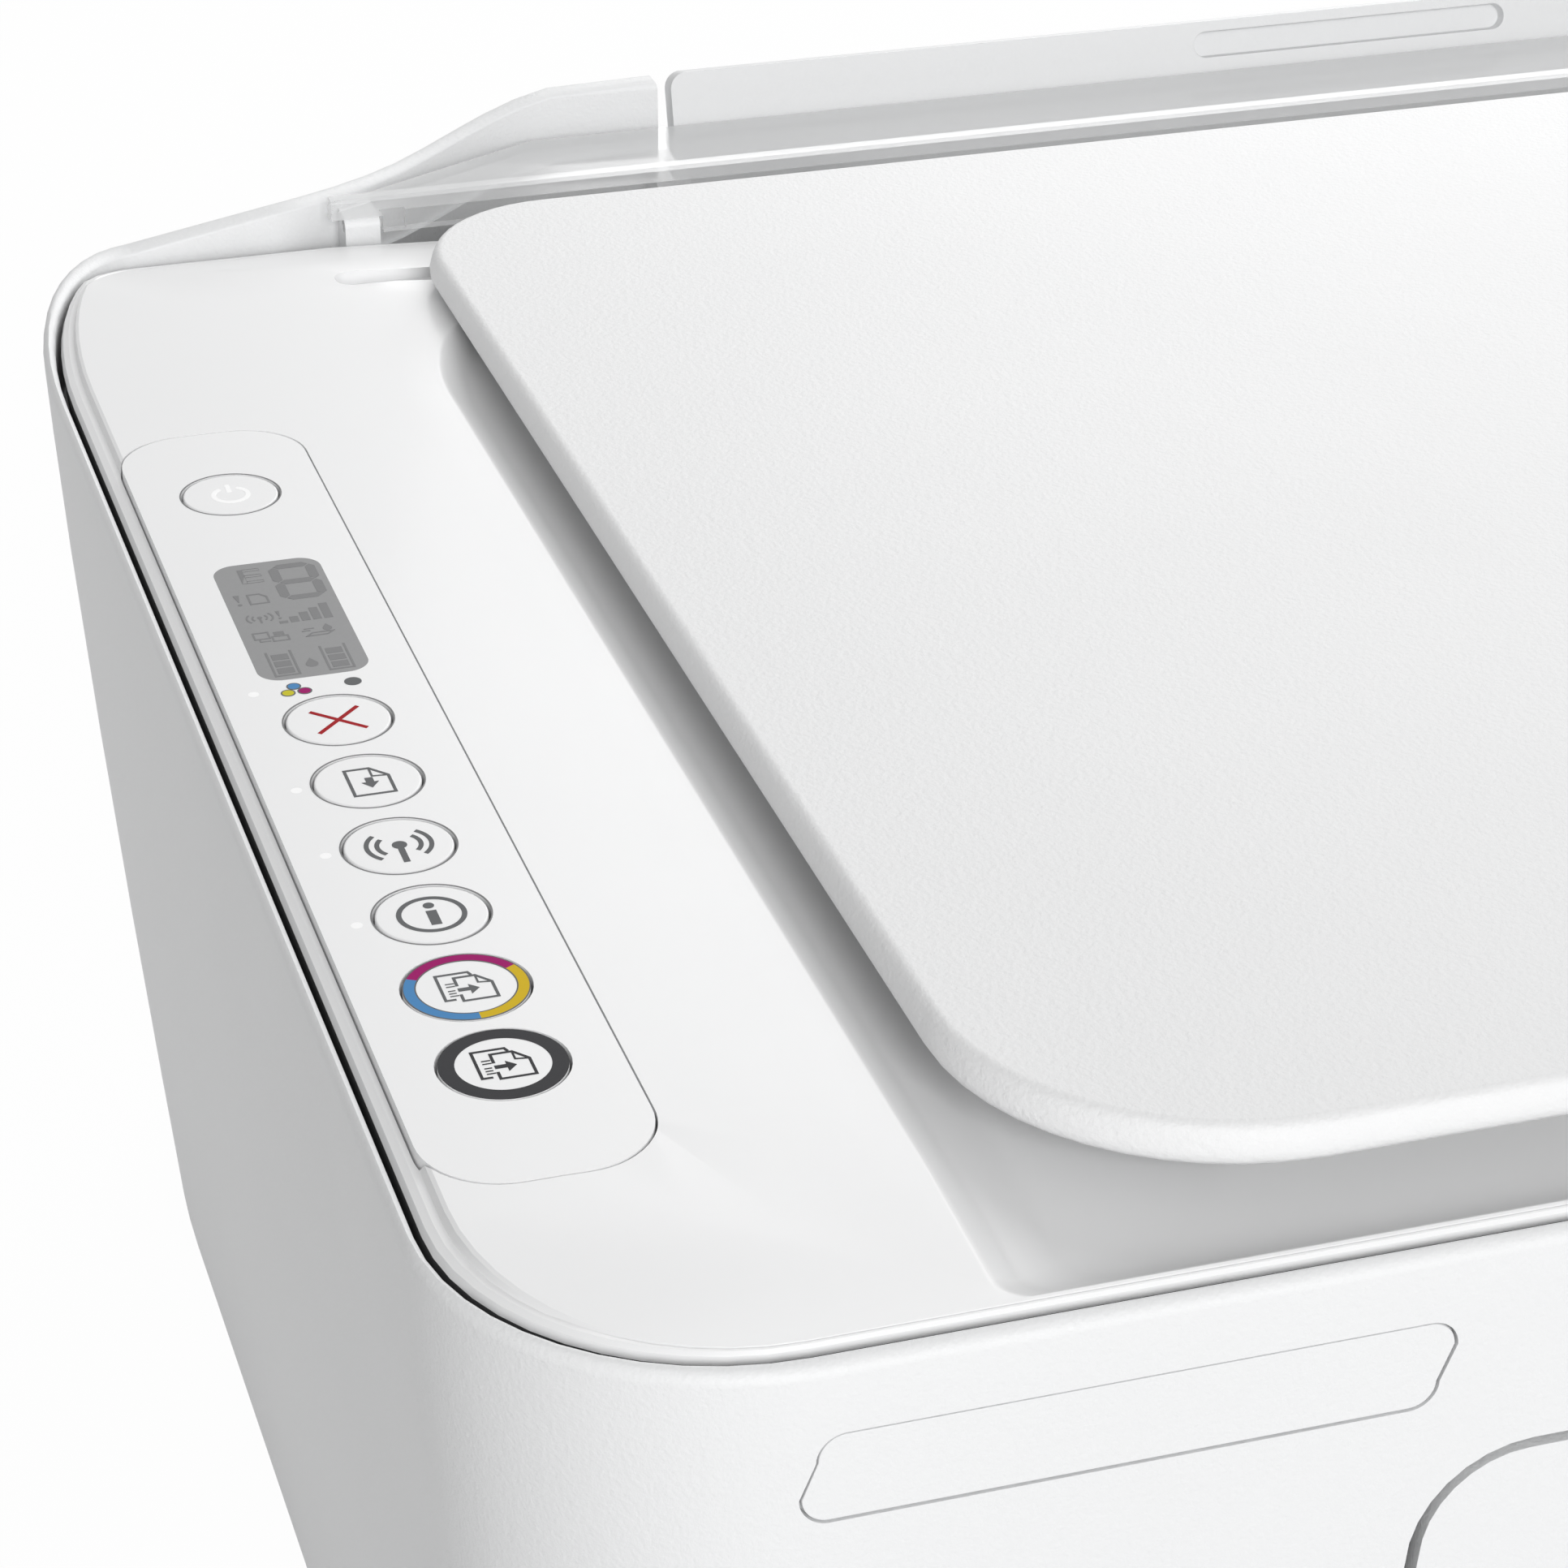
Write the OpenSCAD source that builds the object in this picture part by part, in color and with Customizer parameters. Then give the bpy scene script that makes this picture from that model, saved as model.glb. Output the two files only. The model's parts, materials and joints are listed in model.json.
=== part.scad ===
// All-in-one inkjet printer: flatbed scanner on top, cartridge carriage and paper feed inside.
// Millimetres. X to the right, Y to the back, Z up. The origin is the bottom centre of the body.

/* [Body] */
// Width of the body at the rim
body_w = 423; // [350:1:520]
// Depth from the front wall to the folded input tray
body_d = 304; // [250:1:370]
// Height to the top of the folded input tray
body_h = 149; // [124:1:180]
// Thickness of the housing wall
wall = 2.4; // [2:0.1:3.4]
// How far the side walls lean in from rim to floor
side_lean = 10.9; // [4:0.1:16]
// How far the rounded bottom edge turns in
base_tuck = 7; // [2:0.5:9]
// Height of the rounded bottom edge
tuck_h = 4; // [2:0.5:8]
// Radius of the front corners in plan
front_corner_r = 30; // [18:1:40]
// Extent of the back corners along the back
back_corner_w = 18; // [14:1:30]
// Extent of the back corners along the sides
back_corner_l = 55; // [30:1:60]
// Depth of the rear bulge that holds the input tray
rear_bulge = 22; // [12:1:26]
// Height of the rubber feet
foot_h = 3; // [2:0.5:6]

/* [Top deck] */
// Width of the rim's lip round the deck
rim_w = 1.4; // [1.2:0.1:2.2]
// Gap between the deck and the housing rim
deck_gap = 0.8; // [0.4:0.1:1]
// Width of the left shoulder that carries the control panel
shoulder_w = 48; // [44:1:60]
// Depth of the sunken bed below the shoulder
bed_depth = 4.4; // [3:0.1:6]
// Distance from the lid's left edge to the scanning window
window_margin = 26.3; // [20:0.1:40]
// Thickness of the scanner glass
glass_t = 2.6; // [2:0.1:4]

/* [Control panel] */
// Width of the control panel
panel_w = 22.8; // [20:0.1:26]
// Length of the control panel
panel_l = 175.6; // [160:0.1:190]
// Corner radius of the control panel
panel_r = 8.5; // [4:0.5:11]
// Thickness of the control panel bezel
panel_t = 2.4; // [2:0.1:3]
// Diameter of the small buttons
button_d = 11.5; // [9:0.1:12.4]
// Diameter of the two copy buttons
copy_button_d = 12.6; // [10:0.1:13.4]
// Gap round each button
button_gap = 0.3; // [0.2:0.05:0.5]
// Travel of the buttons
button_travel = 0.6; // [0.3:0.1:1]
// Spacing of the five lower buttons
button_pitch = 14.87; // [13.8:0.01:16]
// Width of the display
lcd_w = 12.7; // [10:0.1:14]
// Length of the display
lcd_l = 31; // [24:0.5:34]

/* [Lid] */
// Thickness of the scanner lid
lid_t = 4.5; // [3.5:0.1:6]
// Gap between the deck plane and the lid
lid_gap = 0.6; // [0.4:0.1:2]
// Radius of the lid's front corners
lid_front_r = 29; // [10:1:40]
// Radius of the lid's back corners
lid_back_r = 20; // [10:1:30]
// Radius of the lid's hinge pins
lid_pin_r = 1.6; // [1.2:0.1:2]

/* [Paper trays] */
// Distance from the body side to the input tray side
tray_side = 102.5; // [99:0.5:112]
// Thickness of the input tray
input_tray_t = 3.6; // [3:0.1:5]
// Backward lean of the input tray in degrees
tray_lean = 15; // [12:1:18]
// How far the input tray lifts
input_lift = 103; // [70:1:105]
// Height of the output tray's pull lip
output_lip_h = 9; // [6:0.5:12]
// Thickness of the output tray
output_tray_t = 5; // [4.5:0.1:7]

/* [Cartridge door] */
// Half width of the door opening at its top
door_top_half = 124; // [100:1:128]
// Half width of the door opening at its bottom
door_low_half = 130; // [104:1:134]
// Bottom of the door opening
door_low_z = 48; // [46:1:54]
// Corner radius of the door's top corners
door_r = 12; // [4:1:20]
// Gap round the door
door_gap = 1.6; // [0.8:0.1:2]

/* [Mechanism] */
// Radius of the carriage guide rod
rod_r = 4; // [3:0.1:5]
// Width of the carriage
carriage_w = 72; // [66:1:74]
// Radius of the feed roller
feed_r = 5; // [4:0.1:5.5]
// Radius of the pickup roller
pickup_r = 17; // [12:0.5:18]
// Gear module
gear_m = 1; // [1:0.1:1]
// Running clearance of shafts in their bores
run_gap = 0.05; // [0.03:0.01:0.1]
// Clearance between sliding parts
slide_gap = 0.4; // [0.3:0.05:0.6]

/* [Hidden] */
$fn = 48;

// Overall planes
half_w = body_w / 2;
front_y = -body_d / 2;
back_y = body_d / 2;
deck_z = body_h - 9;
rim_z = deck_z - 1.3;
bed_z = deck_z - bed_depth;
rear_wall_t = 4.5;
back_shelf_y = back_y - rear_bulge;

// Deck outline and the sunken bed
front_lip = rim_w + 1;
deck_x = half_w - rim_w - deck_gap;
deck_front_y = front_y + front_lip + deck_gap;
deck_back_y = back_y - 28.2;
shoulder_x = -half_w + shoulder_w;
bed_right_x = half_w - 5.5;
bed_front_y = front_y + 4.6;
bed_back_y = back_y - 54;

// Lid outline
lid_x0 = -half_w + 54;
lid_x1 = half_w - 8.5;
lid_y0 = front_y + 14;
lid_y1 = back_y - 38;
lid_z0 = deck_z + lid_gap;

// Scanner window and glass
window_x0 = lid_x0 + window_margin;
window_x1 = lid_x1 - window_margin - 10;
window_y0 = lid_y0 + 14;
window_y1 = lid_y1 - 28;
ledge = 4;
ledge_t = 1.4;
glass_z0 = bed_z - glass_t;
ledge_z0 = glass_z0 - ledge_t;

// Scanner tray below the bed
scan_x0 = window_x0 - 29;
scan_x1 = window_x1 + 32;
scan_y0 = window_y0 - 10;
scan_y1 = window_y1 + 14;
scan_z0 = deck_z - 27;
scan_wall = 2;
scan_floor_t = 2;
bar_w = 18;
bar_x0 = scan_x0 + scan_wall + 16;
scan_rod_r = 2.5;
scan_rod_y = (scan_y0 + scan_y1) / 2;
scan_rod_z = scan_z0 + 7;
scan_pulley_r = 4.4;
belt_t = 1.2;
scan_belt_y = scan_rod_y + 18;

// Control panel
panel_x1 = -half_w + 26.9;
panel_x0 = panel_x1 - panel_w;
panel_mid_x = (panel_x0 + panel_x1) / 2;
panel_y1 = back_y - 95;
panel_y0 = panel_y1 - panel_l;
panel_gap = 0.2;
power_y = panel_y1 - 18.9;
lcd_y1 = panel_y1 - 39;
lcd_y0 = lcd_y1 - lcd_l;
lcd_x0 = panel_mid_x - lcd_w / 2;
cancel_y = panel_y1 - 81.2;
copy_y = panel_y0 + 20.1;
board_z = deck_z - 9;
board_t = 1.4;
switch_h = 2;

// Lid hinge: the pins lie behind the lid's back edge, below the deck plane
hinge_y = lid_y1 + 3;
hinge_z = deck_z - 2.5;
hinge_arm_x = half_w - 113.5;
hinge_arm_w = 12;
hinge_pocket_w = 24;

// Input tray, paper slot and shield
tray_half = half_w - tray_side;
tray_front_y = back_y - 4.2;
tray_top_z = body_h;
input_tray_l = input_lift + 32;
tray_r = 2.5;
slot_front_y = deck_back_y + 0.7;
shield_half = tray_half + 56;
shield_z0 = deck_z + 0.3;
shield_y0 = deck_back_y + 1;
shield_pin_y = shield_y0 + 1.8;
shield_pin_z = deck_z - 1.3;
shield_pin_r = 0.8;
shield_ear_x = tray_half + 49;
guide_half = tray_half - 12;

// Print mechanism: everything here is placed from the feed roller's axis
feed_y = back_y - 152;
feed_z = 49.5;
mech_top_z = scan_z0;
plate_t = 3;
left_plate_x = -half_w + 80.5;
right_plate_x = half_w - 23.5;
inner_plate_x = tray_half + 5;
chassis_z0 = 8;
paper_half = tray_half - 1;
gear_x = left_plate_x - 9;
gear_w = 5;
feed_teeth = 30;
pickup_teeth = 28;
pinion_teeth = 12;
output_y = feed_y - feed_teeth * gear_m * 2;
idler_y = feed_y - feed_teeth * gear_m;
transfer_y = feed_y + feed_teeth * gear_m;
relay_y = transfer_y + feed_teeth * gear_m;
pickup_y = relay_y + (feed_teeth + pickup_teeth) / 2 * gear_m;
pinion_z = feed_z - (feed_teeth + pinion_teeth) / 2 * gear_m;
shaft_r = 4;
axle_r = 2;

// Carriage, rod and belt
home_x = half_w - 63.5;
carriage_x0 = home_x - carriage_w / 2;
carriage_y0 = feed_y - 92;
carriage_y1 = feed_y - 8;
carriage_z0 = 57;
carriage_z1 = mech_top_z - 9;
rod_y = feed_y - 16;
rod_z = mech_top_z - 21;
belt_y = feed_y + 8;
belt_z0 = mech_top_z - 19;
belt_w = 6;
pulley_r = 5.4;
motor_x = left_plate_x + plate_t + 14;
idler_x = right_plate_x - 12;
rail_y = feed_y + 16;
cartridge_w = 26;
cartridge_wall = 2;

// Door and output tray
door_top_z = deck_z - 24;
door_y = front_y + 0.7;
door_t = 3;
door_pin_r = 2;
door_pin_z = door_low_z + 6.5;
door_pin_y = door_y + door_t + 2.6;
door_swing_r = norm([door_pin_y - door_y, door_pin_z - door_low_z - door_gap]) + slide_gap;
out_half = tray_half - 8;
out_z0 = 22;
out_y0 = front_y + 1.4;
out_y1 = feed_y - 25;
extender_half = 42;
stop_half = 18;
stop_pin_r = 0.8;

// ---------- shared shapes ----------
function smooth(t) = let (u = min(1, max(0, t))) u * u * (3 - 2 * u);
function flat(points, z) = [for (p = points) [p[0], p[1], z]];

arc_steps = 12;
long_steps = 14;
side_steps = 12;
wing_steps = 10;

// A quarter ellipse, starting at angle a0
function corner(c, rx, ry, a0) =
  [for (k = [0:arc_steps]) let (a = a0 + 90 * k / arc_steps) [c[0] + rx * cos(a), c[1] + ry * sin(a)]];
// The points between p and q, without its ends
function between(p, q, n) = [for (k = [1:n - 1]) p + (q - p) * k / n];

// Rounded rectangle, counter-clockwise from the front left; each corner has radii [along x, along y]
function outline(x0, x1, y0, y1, fl, fr, br, bl) = concat(
  corner([x0 + fl[0], y0 + fl[1]], fl[0], fl[1], 180),
  between([x0 + fl[0], y0], [x1 - fr[0], y0], long_steps),
  corner([x1 - fr[0], y0 + fr[1]], fr[0], fr[1], 270),
  between([x1, y0 + fr[1]], [x1, y1 - br[1]], side_steps),
  corner([x1 - br[0], y1 - br[1]], br[0], br[1], 0),
  between([x1 - br[0], y1], [x0 + bl[0], y1], long_steps),
  corner([x0 + bl[0], y1 - bl[1]], bl[0], bl[1], 90),
  between([x0, y1 - bl[1]], [x0, y0 + fl[1]], side_steps));

// Middle of the box round a flat ring
function middle(ring) = let (xs = [for (p = ring) p[0]], ys = [for (p = ring) p[1]])
  [(min(xs) + max(xs)) / 2, (min(ys) + max(ys)) / 2, ring[0][2]];
// Faces of a skin over rings of n points each; a wrapped skin joins its last ring to its first
function skin(rings, n, wrap) = [
  for (i = [0:rings - (wrap ? 1 : 2)], j = [0:n - 1], half = [0, 1])
    let (a = i * n + j, b = i * n + (j + 1) % n, up = ((i + 1) % rings) * n)
    half == 0 ? [a, up + j, up + (j + 1) % n] : [a, up + (j + 1) % n, b]];

module loft(rings) {
  n = len(rings[0]);
  last = (len(rings) - 1) * n;
  low = len(rings) * n;
  bottom = [for (j = [0:n - 1]) [j, (j + 1) % n, low]];
  top = [for (j = [0:n - 1]) [last + (j + 1) % n, last + j, low + 1]];
  middles = [middle(rings[0]), middle(rings[len(rings) - 1])];
  polyhedron(concat([for (r = rings, p = r) p], middles), concat(skin(len(rings), n, false), bottom, top));
}

module hollow_loft(rings) {
  n = len(rings[0]);
  polyhedron([for (r = rings, p = r) p], skin(len(rings), n, true));
}

module block(x0, x1, y0, y1, z0, z1) {
  translate([x0, y0, z0]) cube([x1 - x0, y1 - y0, z1 - z0]);
}

module rounded_block(x0, x1, y0, y1, z0, z1, r) {
  translate([0, 0, z0]) linear_extrude(z1 - z0) {
    translate([x0 + r, y0]) square([x1 - x0 - 2 * r, y1 - y0]);
    translate([x0, y0 + r]) square([x1 - x0, y1 - y0 - 2 * r]);
    for (x = [x0 + r, x1 - r], y = [y0 + r, y1 - r]) translate([x, y]) circle(r);
  }
}

module rod_x(x0, x1, y, z, r) {
  translate([x0, y, z]) rotate([0, 90, 0]) cylinder(r = r, h = x1 - x0);
}

module rod_y(x, y0, y1, z, r) {
  translate([x, y0, z]) rotate([-90, 0, 0]) cylinder(r = r, h = y1 - y0);
}

module rod_z(x, y, z0, z1, r) {
  translate([x, y, z0]) cylinder(r = r, h = z1 - z0);
}

// Both sides of the body
module mirrored() {
  children();
  mirror([1, 0, 0]) children();
}

// A spur gear in the plane across X, with straight-flanked teeth
module gear_x(x, y, z, teeth, turn, bore) {
  pitch_r = teeth * gear_m / 2;
  step = 360 / teeth;
  tip_r = pitch_r + 0.8 * gear_m;
  root_r = pitch_r - 1.1 * gear_m;
  profile = [for (k = [0:teeth - 1], s = [[root_r, -0.3], [tip_r, -0.11], [tip_r, 0.11], [root_r, 0.3]])
    let (a = turn + step * (k + s[1])) [s[0] * cos(a), s[0] * sin(a)]];
  translate([x, y, z]) rotate([90, 0, 90]) linear_extrude(gear_w) difference() {
    polygon(profile);
    circle(bore);
  }
}

// A closed toothless belt round two pulleys along X
module belt_loop(x0, x1, y, z0, r) {
  translate([0, 0, z0]) linear_extrude(belt_w) difference() {
    belt_outline(x0, x1, y, r + slide_gap + belt_t);
    belt_outline(x0, x1, y, r + slide_gap);
  }
}

module belt_outline(x0, x1, y, r) {
  translate([x0, y - r]) square([x1 - x0, 2 * r]);
  for (x = [x0, x1]) translate([x, y]) circle(r);
}

// ---------- housing ----------
// The back wall rises in two steps: behind the deck's corners, then beside the input tray
shoulder_rise = 3.7;
function lean(z) = side_lean * pow(max(0, 1 - z / rim_z), 1.24)
  + base_tuck * (1 - sqrt(1 - pow(min(1, max(0, 1 - (z - foot_h) / tuck_h)), 2)));
function wing_rise(x) = shoulder_rise * smooth((half_w - 14.5 - x) / 28)
  + (body_h - rim_z - shoulder_rise - 0.2) * smooth((tray_half + 48 - x) / 40);
function wing_y(x, from_y) = from_y + rear_bulge * smooth((tray_half + 69 - x) / 51);
function rim_top(p) = p[1] > back_shelf_y - 8 ? rim_z + wing_rise(abs(p[0])) : rim_z;

// Housing plan with its sides, front and back moved in
function housing_plan(side, front, back) =
  let (x1 = half_w - side, y0 = front_y + front, y1 = back_shelf_y - back,
       fr = front_corner_r - side, fy = front_corner_r - front, br = back_corner_w - 0.4 * side,
       by = back_corner_l - back, xf = x1 - fr, xb = x1 - br, xs = tray_half + 69, xe = tray_half + 18)
  concat(
    corner([-xf, y0 + fy], fr, fy, 180),
    between([-xf, y0], [xf, y0], long_steps),
    corner([xf, y0 + fy], fr, fy, 270),
    between([x1, y0 + fy], [x1, y1 - by], side_steps),
    corner([xb, y1 - by], br, by, 0),
    [for (k = [1:wing_steps]) let (x = xs - (xs - xe) * k / wing_steps) [x, wing_y(x, y1)]],
    between([xe, wing_y(xe, y1)], [-xe, wing_y(xe, y1)], 6),
    [for (k = [0:wing_steps - 1]) let (x = xe + (xs - xe) * k / wing_steps) [-x, wing_y(x, y1)]],
    corner([-xb, y1 - by], br, by, 90),
    between([-x1, y1 - by], [-x1, y0 + fy], side_steps));

// One ring of the housing skin: height as a share of the wall, less a drop at the rim;
// moved in by [side, front, back]
function housing_ring(share, drop, inset) =
  let (z = foot_h + (rim_z - foot_h) * share, l = lean(z))
  [for (p = housing_plan(l + inset[0], 0.12 * l + inset[1], 0.3 * l + inset[2]))
    [p[0], p[1], foot_h + (rim_top(p) - foot_h) * share - drop]];

// The deck's skirt stands on a ledge inside the rim
skirt_z = deck_z - 11;
skirt_share = (skirt_z - foot_h) / (rim_z - foot_h);
tuck_share = tuck_h / (rim_z - foot_h);

module housing_skin() {
  outside = [0, 0, 0];
  lip = [rim_w, front_lip, rear_wall_t];
  inside = [wall, wall, rear_wall_t];
  hollow_loft([
    for (k = [0, 0.03, 0.12, 0.35, 0.65, 1]) housing_ring(tuck_share * k, 0, outside),
    housing_ring(0.18, 0, outside), housing_ring(0.38, 0, outside),
    housing_ring(0.6, 0, outside), housing_ring(0.8, 0, outside), housing_ring(0.93, 0, outside),
    housing_ring(1, 1.5, outside), housing_ring(1, 0.7, lip * 0.1), housing_ring(1, 0.2, lip * 0.3),
    housing_ring(1, 0, lip * 0.5), housing_ring(1, 0.2, lip * 0.75), housing_ring(1, 0.5, lip * 0.92),
    housing_ring(1, 0.9, lip),
    housing_ring(skirt_share, 0, lip), housing_ring(skirt_share, 0, lip + [2, 2, 1]),
    housing_ring(skirt_share - 0.03, 0, inside), housing_ring(0.6, 0, inside),
    housing_ring(0.3, 0, inside), housing_ring(tuck_share, 0, inside), housing_ring(0, 0, inside)]);
}

// Front view of the door, grown by g
module door_shape(g) {
  top_z = door_top_z - g;
  low_z = door_low_z + g;
  top = door_top_half - g;
  low = door_low_half - g;
  r = max(1, door_r - g);
  polygon(concat(
    [[-low, low_z], [low, low_z]],
    [for (k = [0:8]) let (a = 90 * k / 8) [top - r + r * cos(a), top_z - r + r * sin(a)]],
    [for (k = [0:8]) let (a = 90 + 90 * k / 8) [-top + r + r * cos(a), top_z - r + r * sin(a)]]));
}

module door_prism(y0, y1, g) {
  translate([0, y1, 0]) rotate([90, 0, 0]) linear_extrude(y1 - y0) door_shape(g);
}

badge_x0 = -half_w + 28.5;
badge_x1 = badge_x0 + 62;
badge_z0 = rim_z - 16.7;
badge_z1 = badge_z0 + 9;
badge_slant = 1.5;
badge_t = 1.2;
badge_r = 2.6;

// Plate outline grown by g: rounded corners, ends slanting by badge_slant
module badge_prism(y0, y1, g) {
  r = badge_r + g;
  low = badge_z0 + badge_r;
  high = badge_z1 - badge_r;
  translate([0, y1, 0]) rotate([90, 0, 0]) linear_extrude(y1 - y0)
    polygon(concat(
      corner([badge_x0 + badge_r, low], r, r, 180), corner([badge_x1 - badge_slant - badge_r, low], r, r, 270),
      corner([badge_x1 - badge_r, high], r, r, 0), corner([badge_x0 + badge_slant + badge_r, high], r, r, 90)));
}

usb_x = -half_w + 39;
usb_z = 20;
inlet_x = half_w - 89.5;
inlet_z = 24;
usb_back_y = back_shelf_y - 0.3 * lean(usb_z);
inlet_back_y = back_y - 0.3 * lean(inlet_z);

module outer_housing() {
  color("whitesmoke") {
    difference() {
      housing_skin();
      door_prism(front_y - 5, front_y + 20, 0);
      rod_x(-door_low_half, door_low_half, door_pin_y, door_pin_z, door_swing_r);
      block(-out_half - 3, out_half + 3, front_y - 5, front_y + 20, out_z0 - slide_gap, door_low_z - 6);
      badge_prism(front_y - 5, badge_y + badge_t, 0.25);
      block(usb_x - 6.5, usb_x + 6.5, usb_back_y - 10, usb_back_y + 5, usb_z - 7.4, usb_z + 6);
      block(inlet_x - 11, inlet_x + 11, inlet_back_y - 10, inlet_back_y + 5, inlet_z - 8, inlet_z + 8);
      block(-tray_half - 1.9, tray_half + 1.9, back_y - 9, back_y + 1, deck_z - 3, body_h + 1);
      at_tray() block(-tray_half - 1.9, tray_half + 1.9, -slide_gap, input_tray_t + slide_gap, -24, 5);
      mirrored() wing_corner();
    }
    mirrored() shield_ear();
    mirrored() door_ear();
    mirrored() tray_ear();
  }
}

// Rounds the top corner of the back wall beside the input tray
module wing_corner() {
  x = tray_half + 1.9;
  r = 2;
  z = body_h - 0.2 - r;
  difference() {
    block(x - 1, x + r, back_y - 12, back_y + 1, z, z + r + 1);
    rod_y(x + r, back_y - 13, back_y + 2, z, r);
  }
}

// The badge's plate sits in a shallow recess, almost flush with the front wall
badge_y = front_y + 0.15;

// Carries a pin of the shield; its round front lets the shield's bar swing past
module shield_ear() {
  ear_r = shield_z0 - shield_pin_z - 0.1;
  difference() {
    union() {
      rod_x(shield_ear_x, shield_ear_x + 5, shield_pin_y, shield_pin_z, ear_r);
      block(shield_ear_x, shield_ear_x + 5, shield_pin_y - ear_r, shield_pin_y + 9,
        shield_pin_z - 8, shield_pin_z);
      block(shield_ear_x, shield_ear_x + 5, shield_pin_y, shield_pin_y + 9, shield_pin_z - 1,
        shield_pin_z + ear_r);
    }
    rod_x(shield_ear_x - 1, shield_ear_x + 6, shield_pin_y, shield_pin_z, shield_pin_r + run_gap);
  }
}

// Carries the end of the door's pin, behind the front wall
module door_ear() {
  ear_x = door_low_half + 1.5;
  difference() {
    block(ear_x, ear_x + 5, door_y - 0.2, door_pin_y + 4, door_pin_z - 4, door_pin_z + 4);
    rod_x(ear_x - 1, ear_x + 6, door_pin_y, door_pin_z, door_pin_r + run_gap);
  }
}

// Groove that guides a side edge of the input tray
module tray_ear() {
  at_tray() difference() {
    block(tray_half + slide_gap - 1.6, tray_half + 4, -3, input_tray_t + 2.4, -52, -14);
    block(tray_half - 5, tray_half + slide_gap, -slide_gap, input_tray_t + slide_gap, -60, 0);
  }
}

// Local frame of the leaning input tray: y across its thickness, z along it, z = 0 at its top
module at_tray() {
  translate([0, tray_front_y, tray_top_z]) rotate([-tray_lean, 0, 0]) children();
}

module front_badge() {
  color("white") badge_prism(badge_y, badge_y + badge_t, 0);
}

// ---------- base ----------
base_t = 3;
base_z1 = foot_h + base_t;
base_lean = side_lean + base_tuck;
foot_r = 8;

module base_tray() {
  color("gainsboro") {
    translate([0, 0, foot_h]) linear_extrude(base_t)
      polygon(housing_plan(base_lean + wall + 0.2, 0.12 * base_lean + wall + 0.2,
        0.3 * base_lean + rear_wall_t + 0.2));
    for (x = [left_plate_x + 12, right_plate_x - 12], y = [feed_y - 70, feed_y + 100])
      rod_z(x, y, base_z1, chassis_z0, 5);
    for (y = [feed_y - 60, feed_y + 96]) rod_z(usb_x - 6, y, base_z1, usb_z - 8.6, 3);
  }
}

module rubber_feet() {
  color("dimgray") for (x = [-1, 1], y = [front_y + 40, back_y - 44])
    rod_z(x * (half_w - 41), y, 0, foot_h, foot_r);
}

// ---------- top deck ----------
function crown(p) = rim_z + (deck_z - rim_z)
  * smooth((p[1] - bed_front_y) / 25) * smooth((shoulder_x + 14 - p[0]) / 12)
  - back_fall * max(0, (p[1] - deck_back_y + fall_l) / fall_l);
// The deck falls away over its last strip at the back
back_fall = 3;
fall_l = 12;
front_share = 0.35;
deck_front_r = front_corner_r - rim_w - deck_gap;
deck_back_w = back_corner_w - rim_w - deck_gap;
deck_back_l = back_corner_l - 6.2;
// Deck outline moved in by x on the left, xr on the right, y0 at the front and y1 at the back
function shoulder_plan(x, xr, y0, y1) = outline(-deck_x + x, deck_x - xr, deck_front_y + y0, deck_back_y - y1,
  [deck_front_r - min(x, 4), deck_front_r - y0], [deck_front_r - xr, deck_front_r - y0],
  [deck_back_w - xr, deck_back_l - min(y1, 4)], [deck_back_w - min(x, 4), deck_back_l - min(y1, 4)]);
function deck_plan(d) = shoulder_plan(d, d, front_share * d, d);
function on_crown(points, drop) = [for (p = points) [p[0], p[1], crown(p) - drop]];
function on_edge(points, drop) = [for (p = points) [p[0], p[1], min(rim_z, crown(p)) - drop]];

bed_r = deck_front_r - 2;
// Bed outline moved in by d on the sides and by e at the front and back
function bed_plan(d, e) = outline(shoulder_x + d, bed_right_x - 0.4 * d, bed_front_y + e, bed_back_y - e,
  [3 + 0.6 * d, 3 + 0.6 * e], [bed_r, bed_r], [bed_r, bed_r], [30, 36]);
// A ring of the bed's bank, part of the way down
function bank(d, e, share) = [for (p = bed_plan(d, e)) [p[0], p[1], crown(p) + (bed_z - crown(p)) * share]];
// A ring on the crown, part of the way from the shoulder to the bed's edge
function plateau(share) = let (a = shoulder_plan(14, 3, 1.1, 12), b = bed_plan(0, 0))
  on_crown([for (i = [0:len(a) - 1]) a[i] * (1 - share) + b[i] * share], 0);
function window_plan(g) = outline(window_x0 - g, window_x1 + g, window_y0 - g, window_y1 + g,
  [2, 2], [2, 2], [2, 2], [2, 2]);

module deck_skin() {
  under = 4;
  hollow_loft([
    flat(deck_plan(0.7), skirt_z), on_edge(deck_plan(0), 1.2), on_edge(deck_plan(0.35), 0.35),
    on_edge(deck_plan(1.1), 0), on_edge(deck_plan(1.9), 0),
    on_crown(shoulder_plan(2.2, 2.4, 0.8, 2.2), 0.2), on_crown(shoulder_plan(2.6, 2.7, 0.95, 2.8), 0),
    plateau(0), plateau(0.3), plateau(0.6), plateau(0.85),
    bank(0, 0, 0), bank(0.5, 0.3, 0.04), bank(1.1, 0.6, 0.13), bank(3.4, 1.4, 0.5), bank(4.4, 1.9, 0.62),
    bank(8.6, 3.6, 0.95), bank(11, 5, 1),
    flat(window_plan(ledge + 0.2), bed_z), flat(window_plan(ledge + 0.2), glass_z0),
    flat(window_plan(0), glass_z0), flat(window_plan(0), ledge_z0),
    flat(bed_plan(14, 7.5), ledge_z0),
    flat(bed_plan(-2, 2.5), deck_z - under - 1), flat(deck_plan(2.2), deck_z - under - 1),
    flat(deck_plan(2.2), skirt_z)]);
}

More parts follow.
